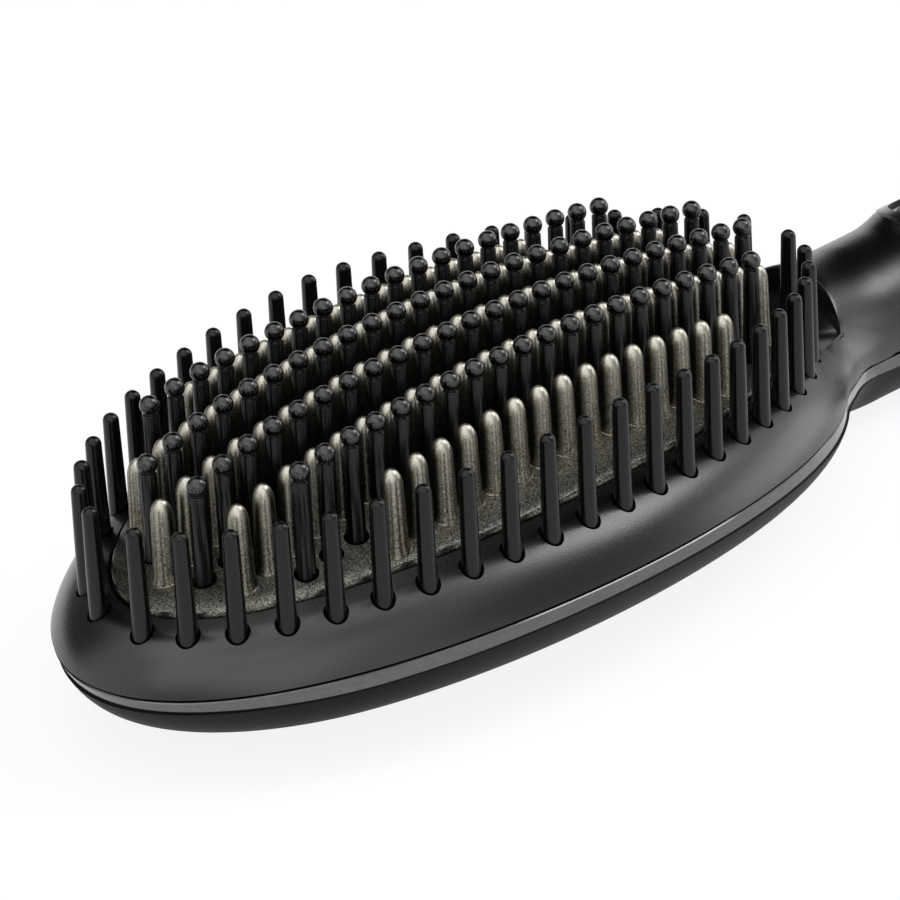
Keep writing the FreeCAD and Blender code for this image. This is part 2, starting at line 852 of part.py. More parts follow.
def make_power_button():
    top = neck_top() + button_proud
    dome = Part.makeSphere(button_dome_radius, Vector(button_x, 0, top - button_dome_radius))
    flange_top_z = light_ring_bottom() - button_clearance
    flange_bottom = flange_top_z - button_flange_height
    cap = upright(button_x, 0, flange_bottom, top, button_radius).common(dome)
    flange = upright(button_x, 0, flange_bottom, flange_top_z, button_flange_radius)
    stem = upright(button_x, 0, plunger_top(), flange_bottom, button_stem_radius)
    return cap.multiFuse([flange, stem]).removeSplitter()


def make_shell_screws():
    tip = shell_boss_joint + shell_screw_bite
    screws = []
    for x in shell_screw_places():
        screws.append(screw(x, 0, shell_screw_recess, tip, shell_screw_head_radius,
                            shell_screw_head_height, shell_screw_radius))
    return Part.makeCompound(screws)


def swivel_height():
    return grip_height(handle_end)


def make_end_cap():
    z = swivel_height()
    cap = lengthwise(handle_end, handle_end + cap_length, z, handle_end_radius)
    spigot_radius = handle_end_radius - wall - cap_spigot_clearance
    cap = cap.fuse(lengthwise(handle_end - cap_spigot_length, handle_end, z, spigot_radius))
    bore_radius = journal_radius + journal_fit
    return cap.cut(lengthwise(handle_end - cap_spigot_length, handle_end + cap_length, z, bore_radius))


def make_swivel_gland():
    z = swivel_height()
    collar_start = handle_end + cap_length + gland_gap
    journal_start = handle_end - cap_spigot_length - journal_inner_length
    journal = lengthwise(journal_start, collar_start, z, journal_radius)
    root = Vector(collar_start, 0, z)
    collar = Part.makeCone(gland_root_radius, gland_tip_radius, gland_length, root, Vector(1, 0, 0))
    tip = collar_start + gland_length
    bore = lengthwise(tip - cord_bore_length, tip, z, cord_bore_radius)
    groove_x0, groove_x1 = retainer_span()
    groove = lengthwise(groove_x0, groove_x1, z, retainer_radius)
    groove = groove.cut(lengthwise(groove_x0, groove_x1, z, journal_radius - retainer_groove))
    return journal.fuse(collar).cut(bore).cut(groove).removeSplitter()


def retainer_span():
    end = handle_end - cap_spigot_length - retainer_gap
    return end - retainer_thickness, end


def make_swivel_retainer():
    x0, x1 = retainer_span()
    z = swivel_height()
    hole = lengthwise(x0, x1, z, journal_radius - retainer_groove)
    return lengthwise(x0, x1, z, retainer_radius).cut(hole)


def contact_block_span():
    end = handle_end - cap_spigot_length - journal_inner_length - contact_block_gap
    return end - contact_block_length, end


def make_contact_block():
    x0, x1 = contact_block_span()
    side = contact_block_width / 2.0
    return box(x0, x1, -side, side, board_bottom, board_bottom + contact_block_height)


def make_mains_lead(y):
    x0 = board_end
    x1 = contact_block_span()[0]
    z = (board_bottom + board_top) / 2.0
    return Part.makeCylinder(mains_lead_radius, x1 - x0, Vector(x0, y, z), Vector(1, 0, 0))


def save(name, shape):
    shape.exportStep("parts/" + name + ".step")
    print(name, "solids", len(shape.Solids), "volume", round(shape.Volume, 1), "valid", shape.isValid())


def main():
    os.makedirs("parts", exist_ok=True)
    save("front_shell", make_front_shell())
    save("back_shell", make_back_shell())
    save("trim_band", make_trim_band())
    save("heater_plate", make_heater_plate())
    strip_names = ("bristle_strip_right_outer", "bristle_strip_right_inner",
                   "bristle_strip_left_inner", "bristle_strip_left_outer")
    for name, y in zip(strip_names, strip_rows()):
        save(name, make_bristle_strip(y))
    save("bristle_frame", make_bristle_frame())
    save("ptc_heater_right", make_heater(-1))
    save("ptc_heater_middle", make_heater(0))
    save("ptc_heater_left", make_heater(1))
    save("mica_sheet", clamp_outline(clamp_top, heater_bottom))
    save("heater_clamp_plate", clamp_outline(clamp_bottom, clamp_top))
    save("clamp_screws", make_clamp_screws())
    save("thermal_fuse", make_block(lead_spacing))
    save("heater_terminal_block", make_block(-lead_spacing))
    save("fuse_lead", make_block_lead(lead_spacing))
    save("heater_return_lead", make_block_lead(-lead_spacing))
    save("temperature_sensor", make_sensor())
    save("sensor_lead", make_sensor_lead())
    save("control_board", make_control_board())
    save("board_screws", make_board_screws())
    save("filter_capacitor", make_filter_capacitor())
    save("triac", make_triac())
    save("tact_switch", make_tact_switch())
    save("switch_plunger", make_switch_plunger())
    save("status_leds", make_status_leds())
    save("power_button", make_power_button())
    save("light_ring", make_light_ring())
    save("button_bezel", make_button_bezel())
    save("shell_screws", make_shell_screws())
    save("end_cap", make_end_cap())
    save("swivel_gland", make_swivel_gland())
    save("swivel_retainer", make_swivel_retainer())
    save("contact_block", make_contact_block())
    save("live_lead", make_mains_lead(mains_lead_spacing))
    save("neutral_lead", make_mains_lead(-mains_lead_spacing))


main()
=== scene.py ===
import bpy
import bmesh
import math
import numpy as np
from mathutils import Matrix, Vector


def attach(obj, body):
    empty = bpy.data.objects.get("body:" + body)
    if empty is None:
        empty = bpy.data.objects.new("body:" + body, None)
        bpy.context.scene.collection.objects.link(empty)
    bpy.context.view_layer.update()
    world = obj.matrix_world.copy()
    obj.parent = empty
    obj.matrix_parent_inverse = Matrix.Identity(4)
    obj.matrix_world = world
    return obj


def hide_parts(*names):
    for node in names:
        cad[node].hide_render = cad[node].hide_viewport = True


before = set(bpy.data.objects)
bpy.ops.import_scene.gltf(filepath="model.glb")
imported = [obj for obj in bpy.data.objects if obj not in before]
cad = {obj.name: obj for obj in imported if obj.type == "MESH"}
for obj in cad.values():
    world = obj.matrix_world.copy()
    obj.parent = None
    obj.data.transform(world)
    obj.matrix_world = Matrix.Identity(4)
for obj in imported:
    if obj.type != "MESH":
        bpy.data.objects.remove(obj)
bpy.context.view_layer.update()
scene = bpy.context.scene
mm = 0.001

# camera at the photograph's angle, lengths in millimetres
shot = {"azimuth": -42.527, "elevation": 26.383, "roll": -2.928,
        "shiftRight": 0.873, "shiftUp": 17.641, "distance": 506.757,
        "focalPixels": 4181.47, "framePixels": 900, "datum": 38.5,
        "sensor": 36, "nearest": 10, "farthest": 20000}


def addCamera():
    a, e, r = (math.radians(shot[k]) for k in ("azimuth", "elevation", "roll"))
    right = Vector((math.cos(a), math.sin(a), 0))
    back = Vector((math.sin(a) * math.cos(e), -math.cos(a) * math.cos(e), math.sin(e)))
    up = back.cross(right)
    tiltedRight = math.cos(r) * right + math.sin(r) * up
    tiltedUp = -math.sin(r) * right + math.cos(r) * up
    place = back * shot["distance"] - tiltedRight * shot["shiftRight"] - tiltedUp * shot["shiftUp"]
    place.z += shot["datum"]
    data = bpy.data.cameras.new("photoCamera")
    data.sensor_width = shot["sensor"]
    data.lens = shot["focalPixels"] / shot["framePixels"] * data.sensor_width
    data.clip_start = shot["nearest"] * mm
    data.clip_end = shot["farthest"] * mm
    camera = bpy.data.objects.new("photoCamera", data)
    camera.matrix_world = Matrix((tiltedRight, tiltedUp, back)).transposed().to_4x4()
    camera.location = place * mm
    scene.collection.objects.link(camera)
    scene.camera = camera


addCamera()
print("camera set")

# materials: grain sizes and bump depths in millimetres
texture = {"mottle": 9.0, "mottleDetail": 3.0, "grainDetail": 2.0, "grainDepth": 0.03, "flakeDepth": 0.05,
           "scratch": 0.5, "scratchDetail": 4.0, "scratchBump": 0.04, "scratchDepth": 0.02,
           "noiseLow": 0.3, "noiseHigh": 0.7}
# places of a mix node's colour sockets
mixColor = {"first": 6, "second": 7, "result": 2}


def startMaterial(name):
    material = bpy.data.materials.new(name)
    material.use_nodes = True
    tree = material.node_tree
    coords = tree.nodes.new("ShaderNodeTexCoord")
    return material, tree, tree.nodes["Principled BSDF"], coords.outputs["Object"]


def feed(tree, socket, value):
    # links another socket, or sets a plain value
    if isinstance(value, bpy.types.NodeSocket):
        tree.links.new(value, socket)
    else:
        socket.default_value = value


def addMath(tree, operation, first, second):
    node = tree.nodes.new("ShaderNodeMath")
    node.operation = operation
    feed(tree, node.inputs[0], first)
    feed(tree, node.inputs[1], second)
    return node.outputs[0]


def addMix(tree, factor, first, second):
    node = tree.nodes.new("ShaderNodeMix")
    feed(tree, node.inputs["Factor"], factor)
    feed(tree, node.inputs["A"], first)
    feed(tree, node.inputs["B"], second)
    return node.outputs["Result"]


def addNoise(tree, coords, size, detail, stretch=(1, 1, 1)):
    # size is that of one grain
    mapping = tree.nodes.new("ShaderNodeMapping")
    mapping.inputs["Scale"].default_value = stretch
    tree.links.new(coords, mapping.inputs["Vector"])
    noise = tree.nodes.new("ShaderNodeTexNoise")
    noise.inputs["Scale"].default_value = 1 / (size * mm)
    noise.inputs["Detail"].default_value = detail
    tree.links.new(mapping.outputs["Vector"], noise.inputs["Vector"])
    return noise.outputs["Fac"]


def addCells(tree, coords, size):
    # two values that differ from cell to cell
    cells = tree.nodes.new("ShaderNodeTexVoronoi")
    cells.inputs["Scale"].default_value = 1 / (size * mm)
    tree.links.new(coords, cells.inputs["Vector"])
    grey = tree.nodes.new("ShaderNodeSeparateColor")
    tree.links.new(cells.outputs["Color"], grey.inputs["Color"])
    return grey.outputs["Red"], grey.outputs["Green"]


def addRamp(tree, value, stops):
    ramp = tree.nodes.new("ShaderNodeValToRGB")
    for k, (place, color) in enumerate(stops):
        stop = ramp.color_ramp.elements[k] if k < 2 else ramp.color_ramp.elements.new(place)
        stop.position = place
        stop.color = (*color, 1)
    tree.links.new(value, ramp.inputs["Fac"])
    return ramp.outputs["Color"]


def addTones(tree, value, dark, light):
    return addRamp(tree, value, [(texture["noiseLow"], dark), (texture["noiseHigh"], light)])


def addRange(tree, value, low, high, fromLow=texture["noiseLow"], fromHigh=texture["noiseHigh"]):
    span = tree.nodes.new("ShaderNodeMapRange")
    span.inputs["From Min"].default_value = fromLow
    span.inputs["From Max"].default_value = fromHigh
    span.inputs["To Min"].default_value = low
    span.inputs["To Max"].default_value = high
    tree.links.new(value, span.inputs["Value"])
    return span.outputs["Result"]


def addBump(tree, shader, heights):
    # heights: (value, strength, depth), chained
    last = None
    for value, strength, depth in heights:
        bump = tree.nodes.new("ShaderNodeBump")
        bump.inputs["Strength"].default_value = strength
        bump.inputs["Distance"].default_value = depth * mm
        tree.links.new(value, bump.inputs["Height"])
        if last is not None:
            tree.links.new(last, bump.inputs["Normal"])
        last = bump.outputs["Normal"]
    tree.links.new(last, shader.inputs["Normal"])


def mouldedPlastic(name, finish):
    # eroded mould texture: fine grain in bump and gloss, slow mottling in colour
    material, tree, shader, coords = startMaterial(name)
    fine = addNoise(tree, coords, finish["grain"], texture["grainDetail"])
    slow = addNoise(tree, coords, texture["mottle"], texture["mottleDetail"])
    tree.links.new(addTones(tree, slow, finish["dark"], finish["light"]), shader.inputs["Base Color"])
    tree.links.new(addRange(tree, fine, *finish["roughness"]), shader.inputs["Roughness"])
    addBump(tree, shader, [(fine, finish["bump"], texture["grainDepth"])])
    shader.inputs["Specular IOR Level"].default_value = finish["specular"]
    return material


def plainMetal(name, finish):
    # fine scratches in colour, gloss and bump
    material, tree, shader, coords = startMaterial(name)
    scratch = addNoise(tree, coords, texture["scratch"], texture["scratchDetail"], finish["stretch"])
    tree.links.new(addTones(tree, scratch, finish["dark"], finish["light"]), shader.inputs["Base Color"])
    tree.links.new(addRange(tree, scratch, *finish["roughness"]), shader.inputs["Roughness"])
    addBump(tree, shader, [(scratch, texture["scratchBump"], texture["scratchDepth"])])
    shader.inputs["Metallic"].default_value = finish["metallic"]
    return material


def coatedMetal(name, finish):
    # speckled ceramic-metal coating: flakes of dark bronze, champagne and pale gold
    material, tree, shader, coords = startMaterial(name)
    flake, tilt = addCells(tree, coords, finish["flake"])
    grit = addNoise(tree, coords, finish["grit"], texture["grainDetail"])
    color = addRamp(tree, flake, finish["stops"])
    if "paintedHighlightColour" in finish:
        # painted highlight: the colour is drawn toward a pale champagne at the tops of the fingers, by the share
        # set on each vertex
        paintedHighlight = tree.nodes.new("ShaderNodeAttribute")
        paintedHighlight.attribute_name = "paintedHighlight"
        paintedHighlightMix = tree.nodes.new("ShaderNodeMix")
        paintedHighlightMix.data_type = "RGBA"
        tree.links.new(paintedHighlight.outputs["Fac"], paintedHighlightMix.inputs["Factor"])
        tree.links.new(color, paintedHighlightMix.inputs[mixColor["first"]])
        paintedHighlightMix.inputs[mixColor["second"]].default_value = (*finish["paintedHighlightColour"], 1)
        color = paintedHighlightMix.outputs[mixColor["result"]]
    tree.links.new(color, shader.inputs["Base Color"])
    tree.links.new(addRange(tree, tilt, *finish["roughness"], 0.0, 1.0), shader.inputs["Roughness"])
    addBump(tree, shader, [(tilt, finish["flakeBump"], texture["flakeDepth"]),
                           (grit, finish["gritBump"], texture["flakeDepth"])])
    shader.inputs["Metallic"].default_value = 1.0
    return material


plastics = {
    "frontPlastic": {"dark": (0.0022, 0.0022, 0.0024), "light": (0.0034, 0.0034, 0.0036),
                     "roughness": (0.21, 0.28), "grain": 0.17, "bump": 0.45, "specular": 0.74},
    "backPlastic": {"dark": (0.003, 0.003, 0.0033), "light": (0.005, 0.005, 0.0053),
                    "roughness": (0.52, 0.62), "grain": 0.22, "bump": 0.22, "specular": 0.16},
    "ballNylon": {"dark": (0.0015, 0.0015, 0.0017), "light": (0.003, 0.003, 0.0033),
                  "roughness": (0.16, 0.22), "grain": 0.35, "bump": 0.04, "specular": 0.80},
    "pinNylon": {"dark": (0.002, 0.002, 0.0023), "light": (0.004, 0.004, 0.0043),
                 "roughness": (0.20, 0.28), "grain": 0.30, "bump": 0.05, "specular": 0.34},
    "bezelGloss": {"dark": (0.012, 0.012, 0.013), "light": (0.016, 0.016, 0.017),
                   "roughness": (0.12, 0.18), "grain": 2.0, "bump": 0.02, "specular": 0.5},
    "buttonSatin": {"dark": (0.13, 0.13, 0.135), "light": (0.17, 0.17, 0.175),
                    "roughness": (0.36, 0.46), "grain": 0.25, "bump": 0.12, "specular": 0.5},
    "ringDiffuser": {"dark": (0.80, 0.80, 0.80), "light": (0.88, 0.88, 0.88),
                     "roughness": (0.28, 0.36), "grain": 0.5, "bump": 0.04, "specular": 0.5},
    "capPlastic": {"dark": (0.014, 0.014, 0.015), "light": (0.019, 0.019, 0.020),
                   "roughness": (0.42, 0.52), "grain": 0.28, "bump": 0.18, "specular": 0.5},
    "fuseSleeve": {"dark": (0.70, 0.69, 0.65), "light": (0.82, 0.81, 0.77),
                   "roughness": (0.6, 0.75), "grain": 0.4, "bump": 0.4, "specular": 0.5},
    "terminalPlastic": {"dark": (0.70, 0.67, 0.58), "light": (0.78, 0.75, 0.66),
                        "roughness": (0.4, 0.5), "grain": 0.4, "bump": 0.1, "specular": 0.5},
    "redSilicone": {"dark": (0.36, 0.03, 0.025), "light": (0.45, 0.045, 0.035),
                    "roughness": (0.5, 0.6), "grain": 0.4, "bump": 0.1, "specular": 0.5},
    "whiteSilicone": {"dark": (0.72, 0.72, 0.70), "light": (0.80, 0.80, 0.78),
                      "roughness": (0.5, 0.6), "grain": 0.4, "bump": 0.1, "specular": 0.5},
    "blackSilicone": {"dark": (0.024, 0.024, 0.024), "light": (0.032, 0.032, 0.032),
                      "roughness": (0.5, 0.6), "grain": 0.4, "bump": 0.1, "specular": 0.5},
    "sensorEpoxy": {"dark": (0.03, 0.03, 0.04), "light": (0.045, 0.045, 0.055),
                    "roughness": (0.18, 0.28), "grain": 1.2, "bump": 0.1, "specular": 0.5},
    "boardLaminate": {"dark": (0.035, 0.17, 0.07), "light": (0.05, 0.23, 0.095),
                      "roughness": (0.28, 0.40), "grain": 0.5, "bump": 0.15, "specular": 0.5},
    "capacitorCase": {"dark": (0.66, 0.52, 0.08), "light": (0.76, 0.61, 0.11),
                      "roughness": (0.25, 0.35), "grain": 0.6, "bump": 0.06, "specular": 0.5},
    "componentBlack": {"dark": (0.024, 0.024, 0.024), "light": (0.034, 0.034, 0.034),
                       "roughness": (0.45, 0.6), "grain": 0.2, "bump": 0.2, "specular": 0.5},
    "plungerPlastic": {"dark": (0.66, 0.65, 0.61), "light": (0.75, 0.74, 0.70),
                       "roughness": (0.4, 0.5), "grain": 0.4, "bump": 0.1, "specular": 0.5},
    "ledLens": {"dark": (0.80, 0.78, 0.70), "light": (0.90, 0.88, 0.80),
                "roughness": (0.15, 0.25), "grain": 0.6, "bump": 0.05, "specular": 0.5}}
metals = {
    "trimGloss": {"dark": (0.120, 0.120, 0.122), "light": (0.150, 0.150, 0.153),
                  "roughness": (0.10, 0.15), "stretch": (0.1, 1, 1), "metallic": 0.85},
    "zincSteel": {"dark": (0.48, 0.48, 0.46), "light": (0.60, 0.60, 0.58),
                  "roughness": (0.25, 0.40), "stretch": (1, 1, 1), "metallic": 1.0},
    "brushedSteel": {"dark": (0.52, 0.52, 0.52), "light": (0.64, 0.64, 0.63),
                     "roughness": (0.28, 0.42), "stretch": (0.05, 1, 1), "metallic": 1.0},
    "castAluminium": {"dark": (0.62, 0.62, 0.62), "light": (0.74, 0.74, 0.74),
                      "roughness": (0.35, 0.5), "stretch": (1, 1, 1), "metallic": 1.0},
    "micaFlake": {"dark": (0.44, 0.36, 0.24), "light": (0.60, 0.52, 0.38),
                  "roughness": (0.35, 0.55), "stretch": (0.2, 0.2, 1), "metallic": 0.15}}
coats = {
    "plateCoating": {"flake": 0.13, "grit": 0.12, "flakeBump": 0.04, "gritBump": 0.12,
                     "roughness": (0.26, 0.42),
                     "stops": [(0.0, (0.020, 0.0195, 0.017)), (0.45, (0.125, 0.122, 0.106)),
                               (1.0, (0.30, 0.294, 0.262))]},
    # the finger coating's last entry is the pale colour of a painted highlight on the tips
    "fingerCoating": {"flake": 0.12, "grit": 0.10, "flakeBump": 0.03, "gritBump": 0.05,
                      "roughness": (0.27, 0.38),
                      "stops": [(0.0, (0.022, 0.0215, 0.018)), (0.22, (0.115, 0.109, 0.083)),
                                (1.0, (0.315, 0.302, 0.242))],
                      "paintedHighlightColour": (0.86, 0.835, 0.72)}}

finishes = {}
for make, table in ((mouldedPlastic, plastics), (plainMetal, metals), (coatedMetal, coats)):
    for name, finish in table.items():
        finishes[name] = make(name, finish)

nodeFinishes = {
    "front_shell": "frontPlastic", "back_shell": "backPlastic", "trim_band": "trimGloss",
    "heater_plate": "plateCoating", "bristle_strip_right_outer": "ballNylon",
    "bristle_strip_right_inner": "ballNylon", "bristle_strip_left_inner": "ballNylon",
    "bristle_strip_left_outer": "ballNylon", "bristle_frame": "pinNylon",
    "ptc_heater_right": "castAluminium", "ptc_heater_middle": "castAluminium",
    "ptc_heater_left": "castAluminium", "mica_sheet": "micaFlake", "heater_clamp_plate": "brushedSteel",
    "clamp_screws": "zincSteel", "thermal_fuse": "fuseSleeve", "heater_terminal_block": "terminalPlastic",
    "fuse_lead": "redSilicone", "heater_return_lead": "whiteSilicone", "temperature_sensor": "sensorEpoxy",
    "sensor_lead": "blackSilicone", "control_board": "boardLaminate", "board_screws": "zincSteel",
    "filter_capacitor": "capacitorCase", "triac": "componentBlack", "tact_switch": "componentBlack",
    "switch_plunger": "plungerPlastic", "status_leds": "ledLens", "power_button": "buttonSatin",
    "light_ring": "ringDiffuser", "button_bezel": "bezelGloss", "shell_screws": "zincSteel",
    "end_cap": "capPlastic", "swivel_gland": "capPlastic", "swivel_retainer": "zincSteel",
    "contact_block": "terminalPlastic", "live_lead": "redSilicone", "neutral_lead": "whiteSilicone"}

for name, finish in nodeFinishes.items():
    cad[name].data.materials.clear()
    cad[name].data.materials.append(finishes[finish])
print("materials on", len(nodeFinishes), "nodes")

# degrees over which an edge stays sharp, and millimetres within which points are one
sharpAngle = 35
weldWithin = 0.004


def softenEdges(mesh, limit=sharpAngle):
    # smooth faces, with the edges over the limit left sharp
    bm = bmesh.new()
    bm.from_mesh(mesh)
    for face in bm.faces:
        face.smooth = True
    for edge in bm.edges:
        edge.smooth = edge.calc_face_angle(0.0) < math.radians(limit)
    bm.to_mesh(mesh)
    bm.free()


def meshFrom(name, bm):
    mesh = bpy.data.meshes.new(name)
    bm.to_mesh(mesh)
    bm.free()
    return mesh


def addPiece(name, bm, finish, limit=sharpAngle):
    mesh = meshFrom(name, bm)
    softenEdges(mesh, limit)
    mesh.materials.append(finishes[finish])
    piece = bpy.data.objects.new(name, mesh)
    scene.collection.objects.link(piece)
    return piece


def standFor(piece, body, *replaced):
    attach(piece, body)
    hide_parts(*replaced)


def applyModifiers(piece):
    graph = bpy.context.evaluated_depsgraph_get()
    mesh = bpy.data.meshes.new_from_object(piece.evaluated_get(graph))
    piece.modifiers.clear()
    old = piece.data
    piece.data = mesh
    bpy.data.meshes.remove(old)
    softenEdges(mesh)


def thicken(piece, thickness):
    # the skin stays outside, its wall goes inward
    wall = piece.modifiers.new("wall", "SOLIDIFY")
    wall.thickness = thickness * mm
    wall.offset = -1
    applyModifiers(piece)


def cutWith(piece, bm):
    cutter = bpy.data.objects.new("cutter", meshFrom("cutter", bm))
    scene.collection.objects.link(cutter)
    cut = piece.modifiers.new("cut", "BOOLEAN")
    cut.operation = "DIFFERENCE"
    cut.solver = "EXACT"
    cut.object = cutter
    applyModifiers(piece)
    bpy.data.objects.remove(cutter)


def weld(bm):
    bmesh.ops.remove_doubles(bm, verts=bm.verts[:], dist=weldWithin * mm)


def evenNormals(bm):
    bmesh.ops.recalc_face_normals(bm, faces=bm.faces[:])


def turnOutward(bm, outward):
    # outward gives the open side at the middle of a face
    evenNormals(bm)
    if sum(f.normal.dot(outward(f.calc_center_median())) * f.calc_area() for f in bm.faces) < 0:
        bmesh.ops.reverse_faces(bm, faces=bm.faces[:])


def growRing(bm, ring):
    # draws open edges out; the new vertices still have to be moved
    made = bmesh.ops.extrude_edge_only(bm, edges=ring)["geom"]
    verts = [g for g in made if isinstance(g, bmesh.types.BMVert)]
    edges = [g for g in made if isinstance(g, bmesh.types.BMEdge)]
    return verts, edges


def addPost(bm, x, y, low, high, radius, segments):
    made = bmesh.ops.create_cone(bm, cap_ends=True, segments=segments, radius1=radius * mm,
                                 radius2=radius * mm, depth=(high - low) * mm)
    bmesh.ops.translate(bm, vec=Vector((x, y, (low + high) / 2)) * mm, verts=made["verts"])


def addBlock(bm, low, high):
    made = bmesh.ops.create_cube(bm, size=1)
    size = Vector(high) - Vector(low)
    bmesh.ops.scale(bm, vec=size * mm, verts=made["verts"])
    bmesh.ops.translate(bm, vec=(Vector(high) + Vector(low)) / 2 * mm, verts=made["verts"])


def spinRound(bm, verts, edges, x, y, segments):
    bmesh.ops.spin(bm, geom=verts + edges, cent=(x * mm, y * mm, 0), axis=(0, 0, 1),
                   angle=math.tau, steps=segments, use_merge=True)


def addTurned(bm, x, y, profile, segments):
    # spins (radius, height) points about an upright axis and gives the new vertices
    count = len(bm.verts)
    verts = [bm.verts.new((x * mm + r * mm, y * mm, z * mm)) for r, z in profile]
    edges = [bm.edges.new(pair) for pair in zip(verts[:-1], verts[1:])]
    spinRound(bm, verts, edges, x, y, segments)
    bm.verts.ensure_lookup_table()
    return bm.verts[count:]


def domeProfile(top, radius, rise, steps):
    # a round tip, from its top down to its full radius
    turns = np.linspace(0, math.pi / 2, steps)
    return [(radius * math.sin(t), top - rise * (1 - math.cos(t))) for t in turns]


# the head's oval, crowned deck, domed back and round neck, in millimetres
form = {"halfLength": 61.2, "halfWidth": 33.0, "deckCrest": 26.8, "deckAlong": 171.95, "deckAcross": 67.0,
        "deckEdge": 6.0, "backCrest": -0.6, "backAlong": 289.6, "backAcross": 55.98, "crownShare": 0.95,
        "backEdge": 4.5, "backTipEdge": 2.8, "tipEdgeStart": 38.0, "tipEdgeRun": 20.0,
        "seamCrest": 15.0, "seamRadius": 555.0, "seamReach": 80, "seamEnd": 60.0, "seamRun": 12.0,
        "neckRadius": 10.9, "neckStart": 57.0, "neckCut": 70.0, "cutSlack": 0.001,
        "gripRadius": 13.4, "gripMiddle": 152.0, "handleEnd": 206.0, "endRadius": 11.8,
        "blendAtSeam": 10.0, "blendOnTop": 3.0, "blendLow": 1.0, "blendRun": 6.0, "blendBack": 0.3}
# rays from the head's middle, and how the skin is searched along them
rays = {"ovalTurn": 0.95, "ovalSteps": 96, "flankSteps": 36, "neckSteps": 41,
        "halvings": 44, "farOut": 90.0, "farUp": 45.0}


def ease(value):
    value = np.clip(value, 0.0, 1.0)
    return value * value * (3 - 2 * value)


def crownFall(x, y, along, across):
    fall = across - np.sqrt(across ** 2 - np.minimum(np.abs(y), form["crownShare"] * across) ** 2)
    return along - np.sqrt((along - fall) ** 2 - x ** 2)


def deckHeight(x, y):
    return form["deckCrest"] - crownFall(x, y, form["deckAlong"], form["deckAcross"])


def backHeight(x, y):
    return form["backCrest"] + crownFall(x, y, form["backAlong"], form["backAcross"])


def gripHeight(x):
    # the handle lies on the table, so its axis is as high as its radius
    rising = (x - form["neckCut"]) / (form["gripMiddle"] - form["neckCut"])
    falling = (form["handleEnd"] - x) / (form["handleEnd"] - form["gripMiddle"])
    before = x <= form["gripMiddle"]
    share = np.clip(np.where(before, rising, falling), 0.0, 1.0)
    start = np.where(before, form["neckRadius"], form["endRadius"])
    return start + (form["gripRadius"] - start) * (0.5 - 0.5 * np.cos(np.pi * share))


def seamHeight(x):
    bow = np.sqrt(form["seamRadius"] ** 2 - np.clip(x, -form["seamReach"], form["seamReach"]) ** 2)
    arc = form["seamCrest"] - form["seamRadius"] + bow
    share = ease((x - form["seamEnd"]) / form["seamRun"])
    return arc * (1 - share) + gripHeight(x) * share


def roundedBoth(a, b, radius):
    # two distances met with a rounded edge
    a = a + radius
    b = b + radius
    return np.minimum(np.maximum(a, b), 0) + np.hypot(np.maximum(a, 0), np.maximum(b, 0)) - radius


def skinField(x, y, z, side):
    # distance from the smooth outer skin, below nought inside; side 1 is the deck, -1 the back
    a, b = form["halfLength"], form["halfWidth"]
    share = np.maximum(np.hypot(x / a, y / b), 1e-6)
    slope = np.maximum(np.hypot(x / a ** 2, y / b ** 2), 1e-9) / share
    outside = (share - 1) / slope
    above = z - deckHeight(x, y) if side > 0 else backHeight(x, y) - z
    edge = form["deckEdge"]
    if side < 0:
        edge = form["backEdge"] + form["backTipEdge"] * ease((-x - form["tipEdgeStart"]) / form["tipEdgeRun"])
    head = roundedBoth(outside, above, edge)
    tube = np.hypot(y, z - seamHeight(x)) - gripHeight(x)
    neck = roundedBoth(tube, form["neckStart"] - x, 0.0)
    high = ease((np.abs(z - seamHeight(x)) - form["blendLow"]) / form["blendRun"])
    if side < 0:
        high = high * form["blendBack"]
    width = form["blendAtSeam"] + (form["blendOnTop"] - form["blendAtSeam"]) * high
    near = np.maximum(width - np.abs(head - neck), 0) / width
    return np.minimum(head, neck) - near ** 2 * width / 4


def reachOut(field, far):
    # how far along each ray the field changes sign
    low = np.zeros_like(far)
    high = far.copy()
    for _ in range(rays["halvings"]):
        middle = (low + high) / 2
        inside = field(middle) < 0
        low = np.where(inside, middle, low)
        high = np.where(inside, high, middle)
    return (low + high) / 2


def rayAngles(level):
    # directions round the head from the tip over the near side, the neck and the far side, back to the tip
    edge = math.sqrt(form["neckRadius"] ** 2 - level ** 2)
    turn = np.linspace(math.pi, 0, rays["neckSteps"])[1:-1]
    window = np.arctan2(edge * np.cos(turn), form["neckCut"])
    last = math.atan(form["halfLength"] / form["halfWidth"] * edge / form["neckCut"])
    oval = np.concatenate([np.linspace(math.pi, rays["ovalTurn"], rays["ovalSteps"])[:-1],
                           np.linspace(rays["ovalTurn"], last, rays["flankSteps"])])
    flank = np.arctan2(form["halfWidth"] * np.sin(oval), form["halfLength"] * np.cos(oval))
    return np.concatenate([-flank, window, flank[::-1]]), len(flank)


def acrossNeck(angles, count):
    # marks the rays that end at the cut across the neck
    across = np.zeros(angles.shape, bool)
    across[count - 1:-(count - 1)] = True
    return across


def outlineReach(angles, count, level, side):
    # how far the parting line lies from the head's middle along each ray; the neck is cut straight across
    dx, dy = np.cos(angles), np.sin(angles)
    far = np.full(angles.shape, rays["farOut"])
    reach = reachOut(lambda r: skinField(r * dx, r * dy, seamHeight(r * dx) + level, side), far)
    return np.where(acrossNeck(angles, count), form["neckCut"] / dx, reach)


